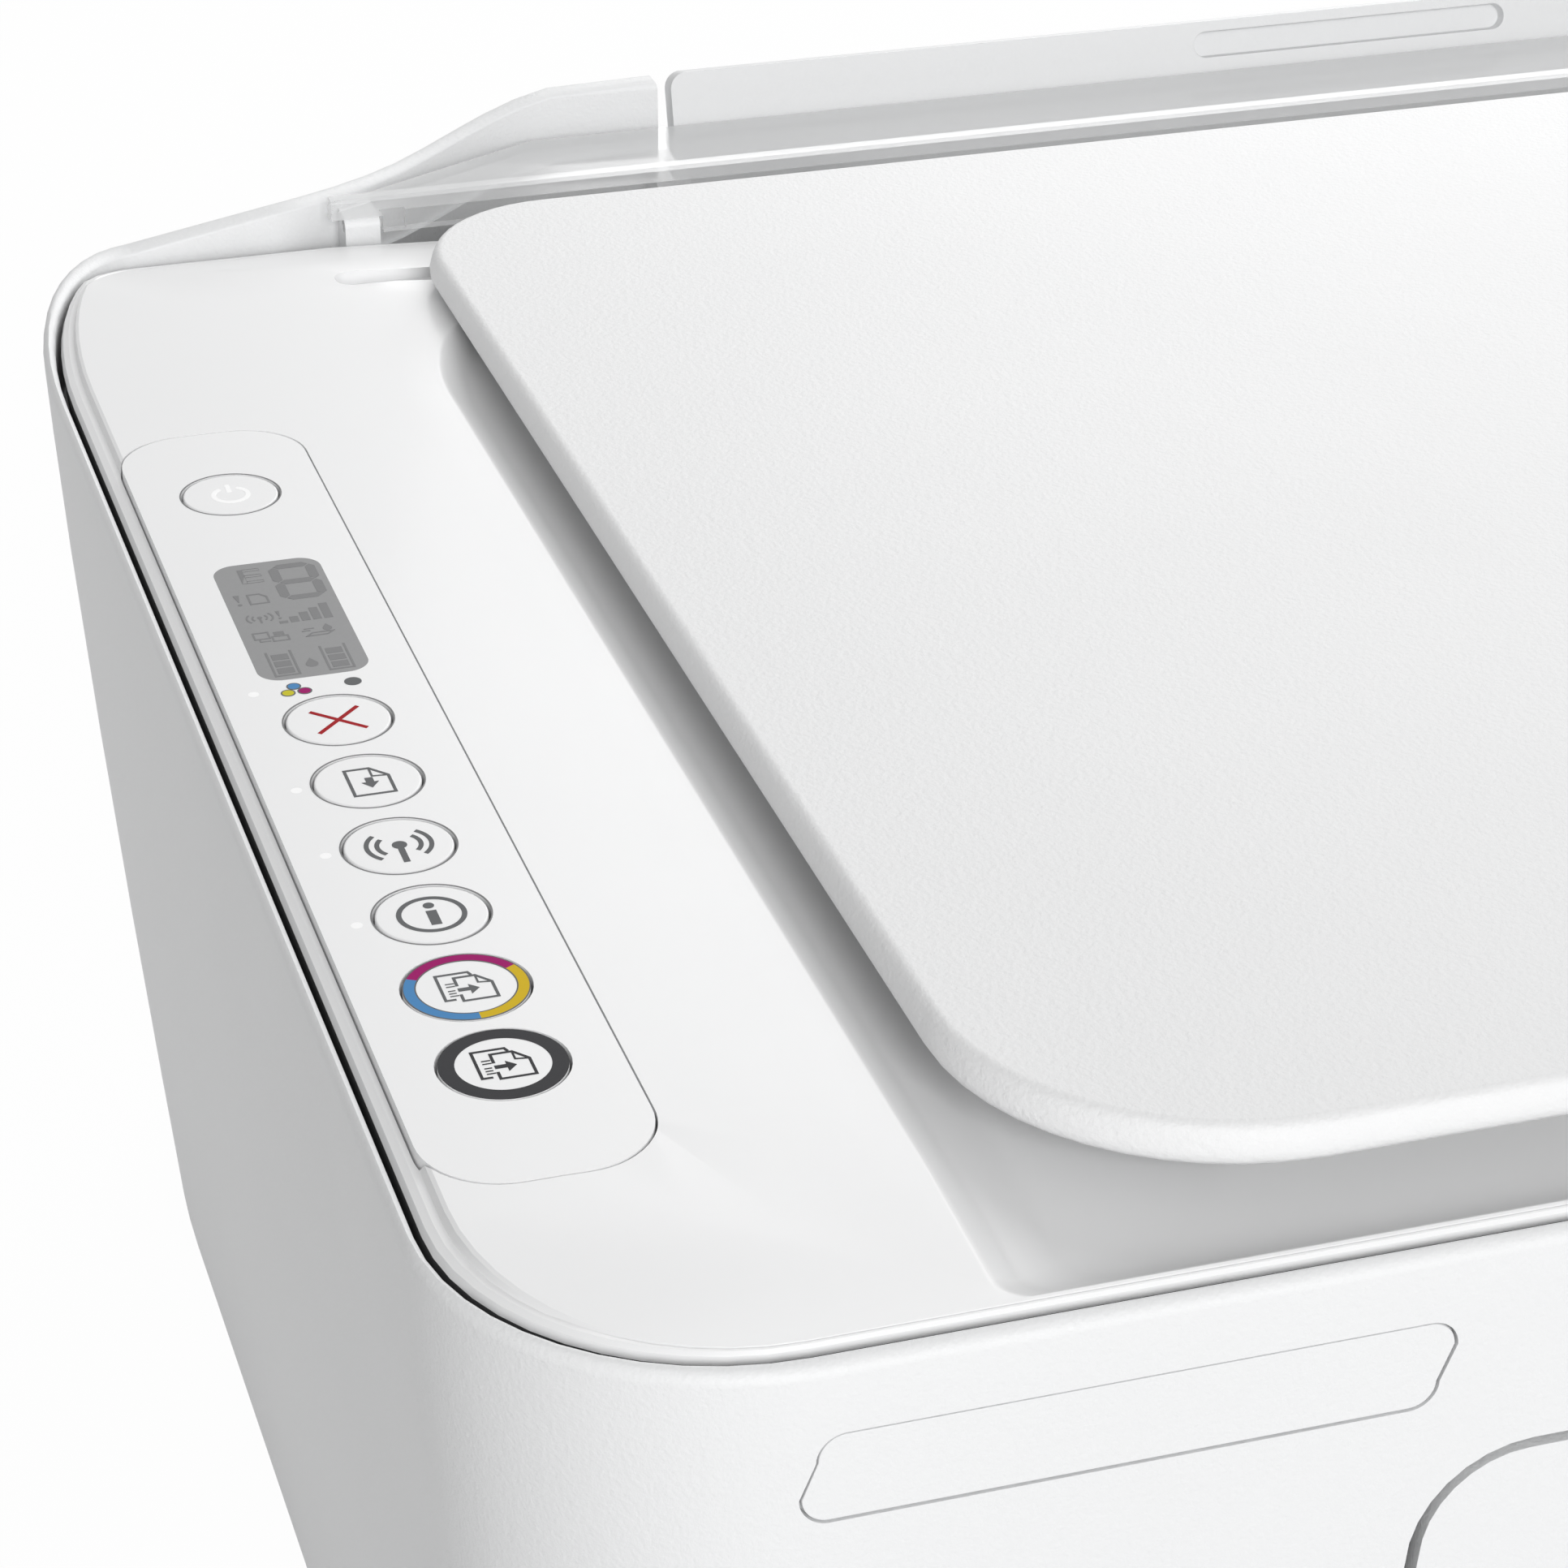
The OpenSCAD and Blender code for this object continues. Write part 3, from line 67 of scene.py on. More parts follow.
# Lamps: place, point aimed at and diameter, in metres
FRONT_LAMP = ((-0.1, -2.8, 1.25), (0.0, 0.0, 0.1), 1.4)
BACK_LAMP = ((0.35, 0.7, 0.6), (0.0, 0.0, 0.12), 0.8)
FLOOR_SIZE = 12.0
FLOOR_GLOW = 0.975  # share of plain white in the floor as the camera sees it

# Largest angle, in degrees, between faces that are shaded as one smooth surface
HOUSING_ANGLE, DECK_ANGLE, LID_ANGLE, MOULDING_ANGLE = 50, 24, 60, 38
# The deck's walls down in the gap are coloured near black: painted shade, not the plastic's
# colour.
GAP_SHADE_LEVEL = 2.4 * MM  # how far below the deck's top the gap's walls turn dark
UPRIGHT = 0.3  # a face whose normal rises less than this is a wall

# Printed marks; radii and distances are in millimetres
FOLD_LIFT = 0.002 * MM  # keeps a second mark clear of the one under it
RIM_GAP, RIM_WIDTH = 0.27, 0.16
COLOUR_RING = (5.1, 6.18)
COLOUR_RING_LINES = (6.3, 6.18, 5.1, 4.95)
BLACK_RING = (6.28, 4.66)


# ---------- sizes and colours ----------
def shade_of(name, description, colour):
    return FloatVectorProperty(name=name, description=description, subtype="COLOR", size=3,
                               min=0.0, max=1.0, default=colour)


def length_of(name, description, metres):
    return FloatProperty(name=name, description=description, unit="LENGTH", precision=5,
                         default=metres)


class PlasticColours(bpy.types.PropertyGroup):
    housing: shade_of("Housing", "Outer housing, door and trays", (0.84, 0.845, 0.85))
    deck: shade_of("Deck", "Glossy top deck round the lid", (0.885, 0.887, 0.89))
    lid: shade_of("Lid", "Fine-grained scanner lid", (0.88, 0.882, 0.885))
    panel: shade_of("Panel", "Control panel film and buttons", (0.90, 0.902, 0.905))
    grey: shade_of("Grey plastic", "Inner guides, trays and hinge arms", (0.30, 0.31, 0.32))
    dark: shade_of("Dark plastic", "Print chassis and carriage", (0.022, 0.022, 0.024))
    gears: shade_of("Gears", "Natural acetal gears", (0.74, 0.72, 0.64))
    clear: shade_of("Clear plastic", "Paper tray shield", (0.90, 0.905, 0.91))
    # The tray is the housing plastic made greyer: painted shade.
    tray: shade_of("Tray", "Folded input tray", (0.76, 0.765, 0.77))
    # Recess: near-black painted shade for the deck's walls down in the gap round it.
    recess: shade_of("Recess", "Walls inside the gap round the deck", (0.04, 0.04, 0.042))


class PrintColours(bpy.types.PropertyGroup):
    line: shade_of("Line grey", "Thin lines and grey pictograms", (0.15, 0.155, 0.16))
    rim: shade_of("Rim grey", "Thin lines round the small buttons", (0.24, 0.24, 0.245))
    ink: shade_of("Black ring", "Ring and sign of the black copy button", (0.047, 0.047, 0.051))
    cross: shade_of("Cancel red", "Cross on the cancel button", (0.40, 0.006, 0.012))
    magenta: shade_of("Magenta", "Magenta arc and dot", (0.38, 0.002, 0.15))
    yellow: shade_of("Yellow", "Yellow arc and dot", (0.74, 0.51, 0.015))
    cyan: shade_of("Cyan", "Blue arc and dot", (0.085, 0.28, 0.58))
    lime: shade_of("Yellow dot", "Yellow dot under the display", (0.68, 0.62, 0.03))
    display: shade_of("Display", "Resting colour of the display", (0.345, 0.346, 0.35))
    segment: shade_of("Segments", "Unlit segments of the display", (0.245, 0.246, 0.25))
    light: shade_of("Lights", "Indicator lights and the power sign", (0.96, 0.96, 0.96))


class MarkSizes(bpy.types.PropertyGroup):
    proud: length_of("Height", "How far the print stands above the panel", 0.03 * MM)
    stroke: length_of("Stroke", "Width of the pictograms' lines", 0.36 * MM)
    edge: length_of("Button edge", "Rounding of the buttons' rims", 0.22 * MM)
    moulding: length_of("Moulded edge", "Rounding of moulded edges", 0.25 * MM)
    grain: length_of("Grain", "Size of the moulded grain", 0.55 * MM)


class StageSettings(bpy.types.PropertyGroup):
    lens: FloatProperty(name="Lens", description="Focal length on a 36 mm sensor", default=99.0)
    front: FloatProperty(name="Front lamp", default=54.0,
                         description="Power of the large lamp at the front in watts")
    back: FloatProperty(name="Back lamp", default=5.0,
                        description="Power of the lamp behind the printer in watts")
    ambient: FloatProperty(name="Ambient", default=0.42,
                           description="Strength of the surrounding light")
    floor: shade_of("Floor", "Pale floor", (0.74, 0.74, 0.74))


# ---------- finishes ----------
class Wire:
    """A value that runs through a node tree; arithmetic on it adds Math nodes."""

    def __init__(self, nodes, socket):
        self.nodes = nodes
        self.socket = socket

    def math(self, operation, *values, clamp=False):
        return self.nodes.node("ShaderNodeMath", {"operation": operation, "use_clamp": clamp},
                               dict(enumerate(values)))

    def __add__(self, other):
        return self.math("ADD", self, other)

    def __sub__(self, other):
        return self.math("SUBTRACT", self, other)

    def __rsub__(self, other):
        return self.math("SUBTRACT", other, self)

    def __mul__(self, other):
        return self.math("MULTIPLY", self, other)

    __radd__ = __add__
    __rmul__ = __mul__

    def clamped(self):
        """The value, kept between 0 and 1."""
        return self.math("ADD", self, 0.0, clamp=True)


class Nodes:
    """The node tree of a material or of the world."""

    def __init__(self, owner):
        owner.use_nodes = True
        self.tree = owner.node_tree
        self.tree.nodes.clear()

    def node(self, kind, settings=None, values=None, out=0):
        """Adds a node with its settings and its sockets' values, and gives one output."""
        made = self.tree.nodes.new(kind)
        for key, value in (settings or {}).items():
            setattr(made, key, value)
        for key, value in (values or {}).items():
            if isinstance(value, Wire):
                self.tree.links.new(value.socket, made.inputs[key])
            elif value is not None:
                made.inputs[key].default_value = value
        return Wire(self, made.outputs[out])

    def seen_ray(self):
        """1 for the camera's own rays, also mirrored or through clear pieces, else 0."""
        straight, mirrored, through = (
            self.node("ShaderNodeLightPath", out=kind)
            for kind in ("Is Camera Ray", "Is Glossy Ray", "Is Transmission Ray"))
        return (straight + mirrored + through).clamped()

    def end_in(self, kind, shader):
        """Ends the tree in an output node."""
        output = self.tree.nodes.new(kind)
        self.tree.links.new(shader.socket, output.inputs["Surface"])


class Finish(Nodes):
    """One procedural material, built from nodes on the piece's own coordinates."""

    def __init__(self, name):
        self.material = bpy.data.materials.new(name)
        super().__init__(self.material)
        self.place = self.node("ShaderNodeTexCoord", out="Object")

    def noise(self, size, detail=2.0, out="Fac", stretch=None):
        """Clouds whose blobs are about that many metres across."""
        place = self.place
        if stretch:
            place = self.node("ShaderNodeMapping", None, {"Vector": place, "Scale": stretch},
                              "Vector")
        return self.node("ShaderNodeTexNoise", None,
                         {"Vector": place, "Scale": 1.0 / size, "Detail": detail,
                          "Roughness": 0.55}, out)

    def tint(self, share, low, high):
        """A colour between two, by share."""
        return self.node("ShaderNodeMix", {"data_type": "RGBA"},
                         {0: share, 6: (*low, 1.0), 7: (*high, 1.0)}, 2)

    def relief(self, height, depth, strength=1.0):
        return self.node("ShaderNodeBump", None,
                         {"Height": height, "Distance": depth, "Strength": strength}, "Normal")

    def surface(self, colour, rough, relief=None, **constants):
        """Ends the finish in one surface shader; constants are set on its own sockets."""
        values = {"Base Color": colour, "Roughness": rough, "Normal": relief}
        for key, value in constants.items():
            values[key.replace("_", " ")] = value
        shader = self.node("ShaderNodeBsdfPrincipled", None, values, "BSDF")
        self.end_in("ShaderNodeOutputMaterial", shader)
        return self.material


FINISHES = {}


def moulded(name, colour, rough, grain, depth, spread=0.03, coat=0.0):
    """Moulded plastic: fine grain in the relief, slow clouds in tone and gloss."""
    finish = Finish(name)
    clouds = finish.noise(0.045, 3.0)
    fine = finish.noise(grain, 3.0)
    speck = finish.noise(grain * 3.1, 2.0)
    low = tuple(c * (1.0 - spread) for c in colour)
    share = (clouds * 0.6 + speck * 0.4).clamped()
    gloss = (clouds - 0.5) * 0.08 + (fine - 0.5) * 0.06 + rough
    return finish.surface(finish.tint(share, low, colour), gloss,
                          finish.relief(fine + speck * 0.5, depth), Coat_Weight=coat,
                          Coat_Roughness=0.12, IOR=1.49)


def printed_ink(name, colour, rough=0.55, glow=0.0):
    """Screen-printed ink with a slightly uneven film; glow adds a faint painted glow to the ink.
    """
    finish = Finish(name)
    film = finish.noise(0.0006, 3.0)
    low = tuple(c * 0.93 for c in colour)
    return finish.surface(finish.tint(film, low, colour), (film - 0.5) * 0.12 + rough,
                          finish.relief(film, 0.000004), IOR=1.5, Specular_IOR_Level=0.06,
                          Emission_Color=(*colour, 1.0), Emission_Strength=glow)


def metal(name, colour, rough, stretch, depth=0.000012):
    """Metal with fine lines drawn along one direction."""
    finish = Finish(name)
    lines = finish.noise(0.0009, 4.0, stretch=stretch)
    stains = finish.noise(0.02, 3.0)
    low = tuple(c * 0.85 for c in colour)
    return finish.surface(finish.tint(stains, low, colour), (lines - 0.5) * 0.2 + rough,
                          finish.relief(lines, depth), Metallic=1.0)


def clear_glass(name, colour, rough, blotch, index):
    """Clear glass with faint wear in its gloss, in blotches of the given size."""
    finish = Finish(name)
    haze = finish.noise(blotch, 3.0)
    low = tuple(c * 0.985 for c in colour)
    return finish.surface(finish.tint(haze, low, colour), (haze - 0.5) * 0.05 + rough,
                          finish.relief(haze, 0.00001), Transmission_Weight=1.0, IOR=index)


def clear_sheet(name, colour, rough):
    """Thin clear plastic: light passes, and its rims and slanted faces show white, a painted
    reflection.
    """
    finish = Finish(name)
    haze = finish.noise(0.03, 3.0)
    # The facing weight makes slanted faces more opaque and white: painted reflection.
    rim = finish.node("ShaderNodeLayerWeight", None, {"Blend": 0.32}, "Facing")
    low = tuple(c * 0.985 for c in colour)
    return finish.surface(finish.tint(haze, low, colour), (haze - 0.5) * 0.04 + rough,
                          finish.relief(haze, 0.00001), Alpha=(rim * 0.75 + 0.07).clamped(),
                          IOR=1.49)


def circuit_board(name):
    """Solder mask with buried tracks and bright pads."""
    finish = Finish(name)
    tracks = finish.node("ShaderNodeTexBrick", {"offset": 0.4},
                         {"Vector": finish.place, "Scale": 140.0, "Mortar Size": 0.035}, "Fac")
    clouds = finish.noise(0.006, 2.0)
    share = (tracks * 0.55 + clouds * 0.25).clamped()
    return finish.surface(finish.tint(share, (0.008, 0.10, 0.035), (0.03, 0.24, 0.10)),
                          tracks * 0.15 + 0.3, finish.relief(tracks, 0.00003))


def rubber(name, colour):
    """Matt rubber with a little dust on it."""
    finish = Finish(name)
    fine = finish.noise(0.0007, 4.0)
    dust = finish.noise(0.008, 3.0)
    high = tuple(c * 1.7 for c in colour)
    return finish.surface(finish.tint(dust, colour, high), (fine - 0.5) * 0.1 + 0.82,
                          finish.relief(fine, 0.00004), Sheen_Weight=0.15)


def foam_sheet(name):
    """White foam with small cells."""
    finish = Finish(name)
    cells = finish.noise(0.0012, 4.0)
    return finish.surface(finish.tint(cells, (0.78, 0.78, 0.77), (0.88, 0.88, 0.87)),
                          (cells - 0.5) * 0.1 + 0.7, finish.relief(cells, 0.00008))


def wear(objects, finish):
    """Puts one finish on every material slot of the given objects."""
    for piece in objects:
        if not piece.material_slots:
            piece.data.materials.append(finish)
        for slot in piece.material_slots:
            slot.material = finish


# ---------- modelling helpers ----------
def alone(piece):
    """Selects one object only."""
    bpy.ops.object.select_all(action="DESELECT")
    piece.select_set(True)
    bpy.context.view_layer.objects.active = piece


def keep(piece, name, finish, slot, body, *nodes):
    """Names a finished piece and puts it on its body."""
    piece.name = name
    piece.data.name = name
    wear([piece], finish)
    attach(piece, body)
    if nodes:
        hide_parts(*nodes)
    return piece


def apply_modifiers(piece):
    alone(piece)
    for modifier in list(piece.modifiers):
        bpy.ops.object.modifier_apply(modifier=modifier.name)


def joined_copy(node):
    """A copy of a frame node whose loose triangles are joined up."""
    source = NODES[node]
    piece = bpy.data.objects.new(node + "_copy", source.data.copy())
    bpy.context.scene.collection.objects.link(piece)
    alone(piece)
    bpy.ops.object.mode_set(mode="EDIT")
    bpy.ops.mesh.select_all(action="SELECT")
    bpy.ops.mesh.remove_doubles(threshold=0.000002)
    bpy.ops.mesh.customdata_custom_splitnormals_clear()
    bpy.ops.object.mode_set(mode="OBJECT")
    return piece


def smooth_shell(node, name, finish, slot, body, angle):
    """A smooth-faced copy of a curved shell that stands for its node."""
    piece = joined_copy(node)
    bpy.ops.object.shade_smooth_by_angle(angle=math.radians(angle))
    even = piece.modifiers.new("even", "WEIGHTED_NORMAL")
    even.keep_sharp = True
    even.weight = 70
    apply_modifiers(piece)
    return keep(piece, name, finish, slot, body, node)


def soft_edged(node, name, finish, slot, body, edge, steps=2):
    """A copy of a node with its moulded edges rounded over."""
    piece = joined_copy(node)
    bpy.ops.object.mode_set(mode="EDIT")
    bpy.ops.mesh.select_all(action="SELECT")
    bpy.ops.mesh.dissolve_limited(angle_limit=math.radians(1.0))
    bpy.ops.object.mode_set(mode="OBJECT")
    bevel = piece.modifiers.new("edge", "BEVEL")
    bevel.width = edge
    bevel.segments = steps
    bevel.limit_method = "ANGLE"
    bevel.angle_limit = math.radians(35)
    bevel.use_clamp_overlap = True
    bevel.harden_normals = False
    apply_modifiers(piece)
    bpy.ops.object.shade_smooth_by_angle(angle=math.radians(MOULDING_ANGLE))
    even = piece.modifiers.new("even", "WEIGHTED_NORMAL")
    even.keep_sharp = True
    apply_modifiers(piece)
    return keep(piece, name, finish, slot, body, node)


# ---------- flat marks ----------
def circle(x, y, r, steps=56):
    return [(x + r * math.cos(2 * math.pi * k / steps), y + r * math.sin(2 * math.pi * k / steps))
            for k in range(steps)]


def arc(x, y, r, start, end, steps=22):
    turns = [math.radians(start + (end - start) * k / steps) for k in range(steps + 1)]
    return [(x + r * math.cos(a), y + r * math.sin(a)) for a in turns]


def bar(x0, x1, y0, y1):
    return [(x0, y0), (x1, y0), (x1, y1), (x0, y1)]


def band(x, y, r0, r1, start, end):
    """A piece of a ring."""
    return arc(x, y, r1, start, end) + arc(x, y, r0, end, start)


def offset_path(points, distance, closed):
    """The path moved sideways by distance, with mitred corners."""
    count = len(points)
    moved = []
    for i, point in enumerate(points):
        here = Vector(point)
        before = Vector(points[i - 1]) if closed or i else None
        after = Vector(points[(i + 1) % count]) if closed or i < count - 1 else None
        sides = []
        for a, b in ((before, here), (here, after)):
            if a is not None and b is not None:
                run = (b - a).normalized()
                sides.append(Vector((-run.y, run.x)))
        side = sum(sides, Vector((0.0, 0.0))).normalized()
        reach = distance / max(0.35, side.dot(sides[0]))
        moved.append(tuple(here + side * reach))
    return moved


def line(points, width):
    """Outline of a drawn line."""
    return offset_path(points, width / 2, False) + offset_path(points, -width / 2, False)[::-1]


def loop(points, width):
    """Outer and inner outline of a closed drawn line."""
    return [offset_path(points, width / 2, True), offset_path(points, -width / 2, True)]


def cross(half, width):
    """A diagonal cross in one outline."""
    w = width / math.sqrt(2)
    quarter = [(w, 0), (half, half - w), (half - w, half)]
    points = []
    for k in range(4):
        turn = Matrix.Rotation(math.radians(90 * k), 2)
        points += [tuple(turn @ Vector(p)) for p in quarter]
    return points


def mark(name, outlines, at, finish, slot, body, lift=0.0):
    """A thin printed mark: a filled flat curve, drawn in millimetres round a point."""
    sizes = bpy.context.scene.printer_marks
    curve = bpy.data.curves.new(name, "CURVE")
    curve.dimensions = "2D"
    curve.fill_mode = "BOTH"
    for outline in outlines:
        spline = curve.splines.new("POLY")
        spline.points.add(len(outline) - 1)
        for dot, (x, y) in zip(spline.points, outline):
            dot.co = (x * MM, y * MM, 0.0, 1.0)
        spline.use_cyclic_u = True
    curve.extrude = sizes.proud
    piece = bpy.data.objects.new(name, curve)
    bpy.context.scene.collection.objects.link(piece)
    alone(piece)
    bpy.ops.object.convert(target="MESH")
    piece = bpy.context.view_layer.objects.active
    piece.location = (at[0], at[1], at[2] + lift)
    bpy.ops.object.transform_apply(location=True, rotation=True, scale=True)
    bpy.ops.object.mode_set(mode="EDIT")
    bpy.ops.mesh.select_all(action="SELECT")
    bpy.ops.mesh.remove_doubles(threshold=0.000001)
    bpy.ops.mesh.normals_make_consistent(inside=False)
    bpy.ops.object.mode_set(mode="OBJECT")
    return keep(piece, name, finish, slot, body)


# ---------- operators ----------
# The finish of each material slot named in the frame
SLOT_FINISHES = {
    "housing_plastic": "housing", "deck_plastic": "deck", "lid_plastic": "lid",
    "panel_plastic": "panel", "display_plastic": "display", "light_plastic": "light",
    "clear_plastic": "clear", "scanner_glass": "glass", "foam": "foam", "grey_plastic": "grey",
    "dark_plastic": "dark", "gear_plastic": "gear", "sheet_steel": "steel",
    "polished_steel": "rod", "brass": "brass", "rubber": "rubber", "circuit_board": "board",
}


class PRINTER_OT_finishes(bpy.types.Operator):
    """Mix the plastics, inks and metals"""
    bl_idname = "printer.finishes"
    bl_label = "Finishes"

    def execute(self, context):
        grain = context.scene.printer_marks.grain
        FINISHES.update(self.plastics(context.scene.printer_plastics, grain))
        FINISHES.update(self.inks(context.scene.printer_prints))
        FINISHES.update(self.others())
        for part in frame["record"]["subparts"]:
            wear([NODES[part["node"]]], FINISHES[SLOT_FINISHES[part["material_slot"]]])
        return {"FINISHED"}

    @staticmethod
    def plastics(plastic, grain):
        """Moulded and clear plastics; each has its roughness, grain size and grain depth."""
        return {
            "housing": moulded("housing_grain", plastic.housing, 0.5, grain, 0.00008),
            "deck": moulded("deck_satin", plastic.deck, 0.42, grain * 2.2, 0.000006, 0.012, 0.12),
            # painted shade for the deck's walls down in the gap
            "recess": moulded("gap_walls_painted_shade", plastic.recess, 0.7, grain, 0.00002),
            # housing plastic darkened for the tray, as painted shade
            "tray": moulded("tray_grain_painted_shade", plastic.tray, 0.5, grain, 0.00005),
            "lid": moulded("lid_grain", plastic.lid, 0.6, grain * 1.3, 0.00012),
            "panel": moulded("panel_film", plastic.panel, 0.36, grain * 1.5, 0.000006, 0.012),
            "grey": moulded("guide_grey", plastic.grey, 0.55, grain * 1.4, 0.00004, 0.08),
            "dark": moulded("chassis_black", plastic.dark, 0.5, grain * 1.4, 0.00004, 0.2),
            "gear": moulded("gear_acetal", plastic.gears, 0.42, grain, 0.00001, 0.05),
            "clear": clear_sheet("shield_clear", plastic.clear, 0.08),
        }

    @staticmethod
    def inks(ink):
        """Inks of the panel and the display."""
        return {
            "display": printed_ink("display_window", ink.display, 0.34),
            "segment": printed_ink("display_segment", ink.segment, 0.36),
            "line": printed_ink("print_line_grey", ink.line),
            "rim_line": printed_ink("print_rim_grey", ink.rim),
            "ink": printed_ink("print_black", ink.ink),
            "cross": printed_ink("print_red", ink.cross),
            "magenta": printed_ink("print_magenta", ink.magenta),
            "yellow": printed_ink("print_yellow", ink.yellow),
            "lime": printed_ink("print_yellow_dot", ink.lime),
            "cyan": printed_ink("print_blue", ink.cyan),
            # the white print of the power sign gets a faint painted glow; the indicator lights
            # share this finish
            "light": printed_ink("print_white_painted_glow", ink.light, 0.3, 0.16),
        }

    @staticmethod
    def others():
        """Glass, metals, rubber, foam and circuit board."""
        return {
            "glass": clear_glass("scanner_float_glass", (0.95, 0.985, 0.975), 0.03, 0.05, 1.52),
            "steel": metal("zinc_sheet", (0.62, 0.63, 0.64), 0.38, (1.0, 14.0, 14.0)),
            "rod": metal("ground_rod", (0.70, 0.71, 0.72), 0.16, (1.0, 18.0, 18.0), 0.000005),
            "brass": metal("turned_brass", (0.72, 0.53, 0.22), 0.28, (14.0, 14.0, 1.0)),
            "rubber": rubber("matt_rubber", (0.022, 0.022, 0.023)),
            "foam": foam_sheet("lid_foam"),
            "board": circuit_board("solder_mask"),
        }


class PRINTER_OT_shells(bpy.types.Operator):
    """Smooth the housing, the top deck and the lid"""
    bl_idname = "printer.shells"
    bl_label = "Shells"

    def execute(self, context):
        smooth_shell("outer_housing", "housing_shell", FINISHES["housing"], "housing_plastic",
                     "chassis", HOUSING_ANGLE)
        deck = smooth_shell("top_deck", "deck_shell", FINISHES["deck"], "deck_plastic",
                            "chassis", DECK_ANGLE)
        self.paint_gap_shade(deck)
        smooth_shell("scanner_lid", "lid_shell", FINISHES["lid"], "lid_plastic", "lid", LID_ANGLE)
        return {"FINISHED"}

    @staticmethod
    def paint_gap_shade(deck):
        """Paints shade on the deck's skirt, down inside the gap, by giving it the dark finish."""
        low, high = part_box("top_deck")
        middle = (Vector(low) + Vector(high)) / 2
        level = high[2] - GAP_SHADE_LEVEL
        deck.data.materials.append(FINISHES["recess"])
        for face in deck.data.polygons:
            is_low_wall = abs(face.normal.z) < UPRIGHT and face.center.z < level
            if is_low_wall and face.normal.xy.dot(face.center.xy - middle.xy) > 0:
                face.material_index = 1


class PRINTER_OT_mouldings(bpy.types.Operator):
    """Round over the edges of the panel, badge plate, door, trays and shield"""
    bl_idname = "printer.mouldings"
    bl_label = "Mouldings"

    def execute(self, context):
        edge = context.scene.printer_marks.moulding
        for node, name, finish, slot, body, width in (
                ("control_panel_bezel", "panel_face", "panel", "panel_plastic", "chassis", 0.6),
                ("front_badge", "badge_plate", "housing", "housing_plastic", "chassis", 0.6),
                ("cartridge_door", "door_panel", "housing", "housing_plastic", "door", 2),
                ("input_tray", "rear_tray_panel", "tray", "housing_plastic", "rear_tray", 2),
                ("paper_tray_shield", "shield_panel", "clear", "clear_plastic", "shield", 1)):
            soft_edged(node, name, FINISHES[finish], slot, body, edge * width)
        return {"FINISHED"}


class PRINTER_OT_stage(bpy.types.Operator):
    """Set the floor, the lamps and the camera"""
    bl_idname = "printer.stage"
    bl_label = "Stage"

    def execute(self, context):
        settings = context.scene.printer_stage
        self.floor(context, settings.floor)
        self.sky(context, settings.ambient)
        self.lamp("front_lamp", *FRONT_LAMP, settings.front)
        self.lamp("back_lamp", *BACK_LAMP, settings.back)
        self.camera(context, settings.lens)
        return {"FINISHED"}

    @staticmethod
    def floor(context, colour):
        """A pale matt floor that the camera sees as nearly white."""
        bpy.ops.object.select_all(action="DESELECT")
        bpy.ops.mesh.primitive_plane_add(size=FLOOR_SIZE, location=(0.0, 0.0, 0.0))
        floor = context.view_layer.objects.active
        floor.name = "floor"
        finish = Finish("floor_paint")
        tone = finish.tint(finish.noise(0.3, 3.0), tuple(c * 0.985 for c in colour), tuple(colour))
        paint = finish.node("ShaderNodeBsdfDiffuse", None, {"Color": tone}, "BSDF")
        glow = finish.node("ShaderNodeEmission", None, {"Color": (1, 1, 1, 1), "Strength": 1.0},
                           "Emission")
        mixed = finish.node("ShaderNodeMixShader", None,
                            {0: finish.seen_ray() * FLOOR_GLOW, 1: paint, 2: glow}, "Shader")
        finish.end_in("ShaderNodeOutputMaterial", mixed)
        wear([floor], finish.material)

    @staticmethod
    def sky(context, strength):
        """Soft light from all round, which the camera sees as plain white."""
        world = bpy.data.worlds.new("studio_surround")
        nodes = Nodes(world)
        shared = nodes.node("ShaderNodeBackground", None,
                            {"Color": (1, 1, 1, 1), "Strength": strength})
        seen = nodes.node("ShaderNodeBackground", None, {"Color": (1, 1, 1, 1)})
        mixed = nodes.node("ShaderNodeMixShader", None, {0: nodes.seen_ray(), 1: shared, 2: seen})
        nodes.end_in("ShaderNodeOutputWorld", mixed)
        context.scene.world = world

    @staticmethod
    def lamp(name, place, aim, size, power):
        """A round lamp at a place, turned to the point that it is aimed at."""
        bpy.ops.object.light_add(type="AREA", location=place)
        lamp = bpy.context.view_layer.objects.active
        lamp.name = name
        lamp.data.name = name
        lamp.data.shape = "DISK"
        lamp.data.size = size
        lamp.data.energy = power
        lamp.rotation_euler = (Vector(aim) - Vector(place)).to_track_quat("-Z", "Y").to_euler()

    @staticmethod
    def camera(context, lens):
        """The camera of the main view."""
        yaw, pitch, roll = map(math.radians, (CAMERA_YAW, CAMERA_PITCH, CAMERA_ROLL))
        ahead = Vector((math.sin(yaw) * math.cos(pitch), math.cos(yaw) * math.cos(pitch),
                        -math.sin(pitch)))
        right = Vector((math.cos(yaw), -math.sin(yaw), 0.0))
        above = right.cross(ahead)
        side = right * math.cos(roll) + above * math.sin(roll)
        up = above * math.cos(roll) - right * math.sin(roll)
        turn = Matrix((side, up, -ahead)).transposed().to_4x4()
        data = bpy.data.cameras.new("studio_camera")
        data.lens = lens
        data.sensor_width = SENSOR_WIDTH
        data.clip_start = 0.01
        data.clip_end = 50.0
        camera = bpy.data.objects.new("studio_camera", data)
        camera.matrix_world = Matrix.Translation(CAMERA_PLACE) @ turn
        context.scene.collection.objects.link(camera)
        context.scene.camera = camera
        context.scene.view_settings.view_transform = "Standard"


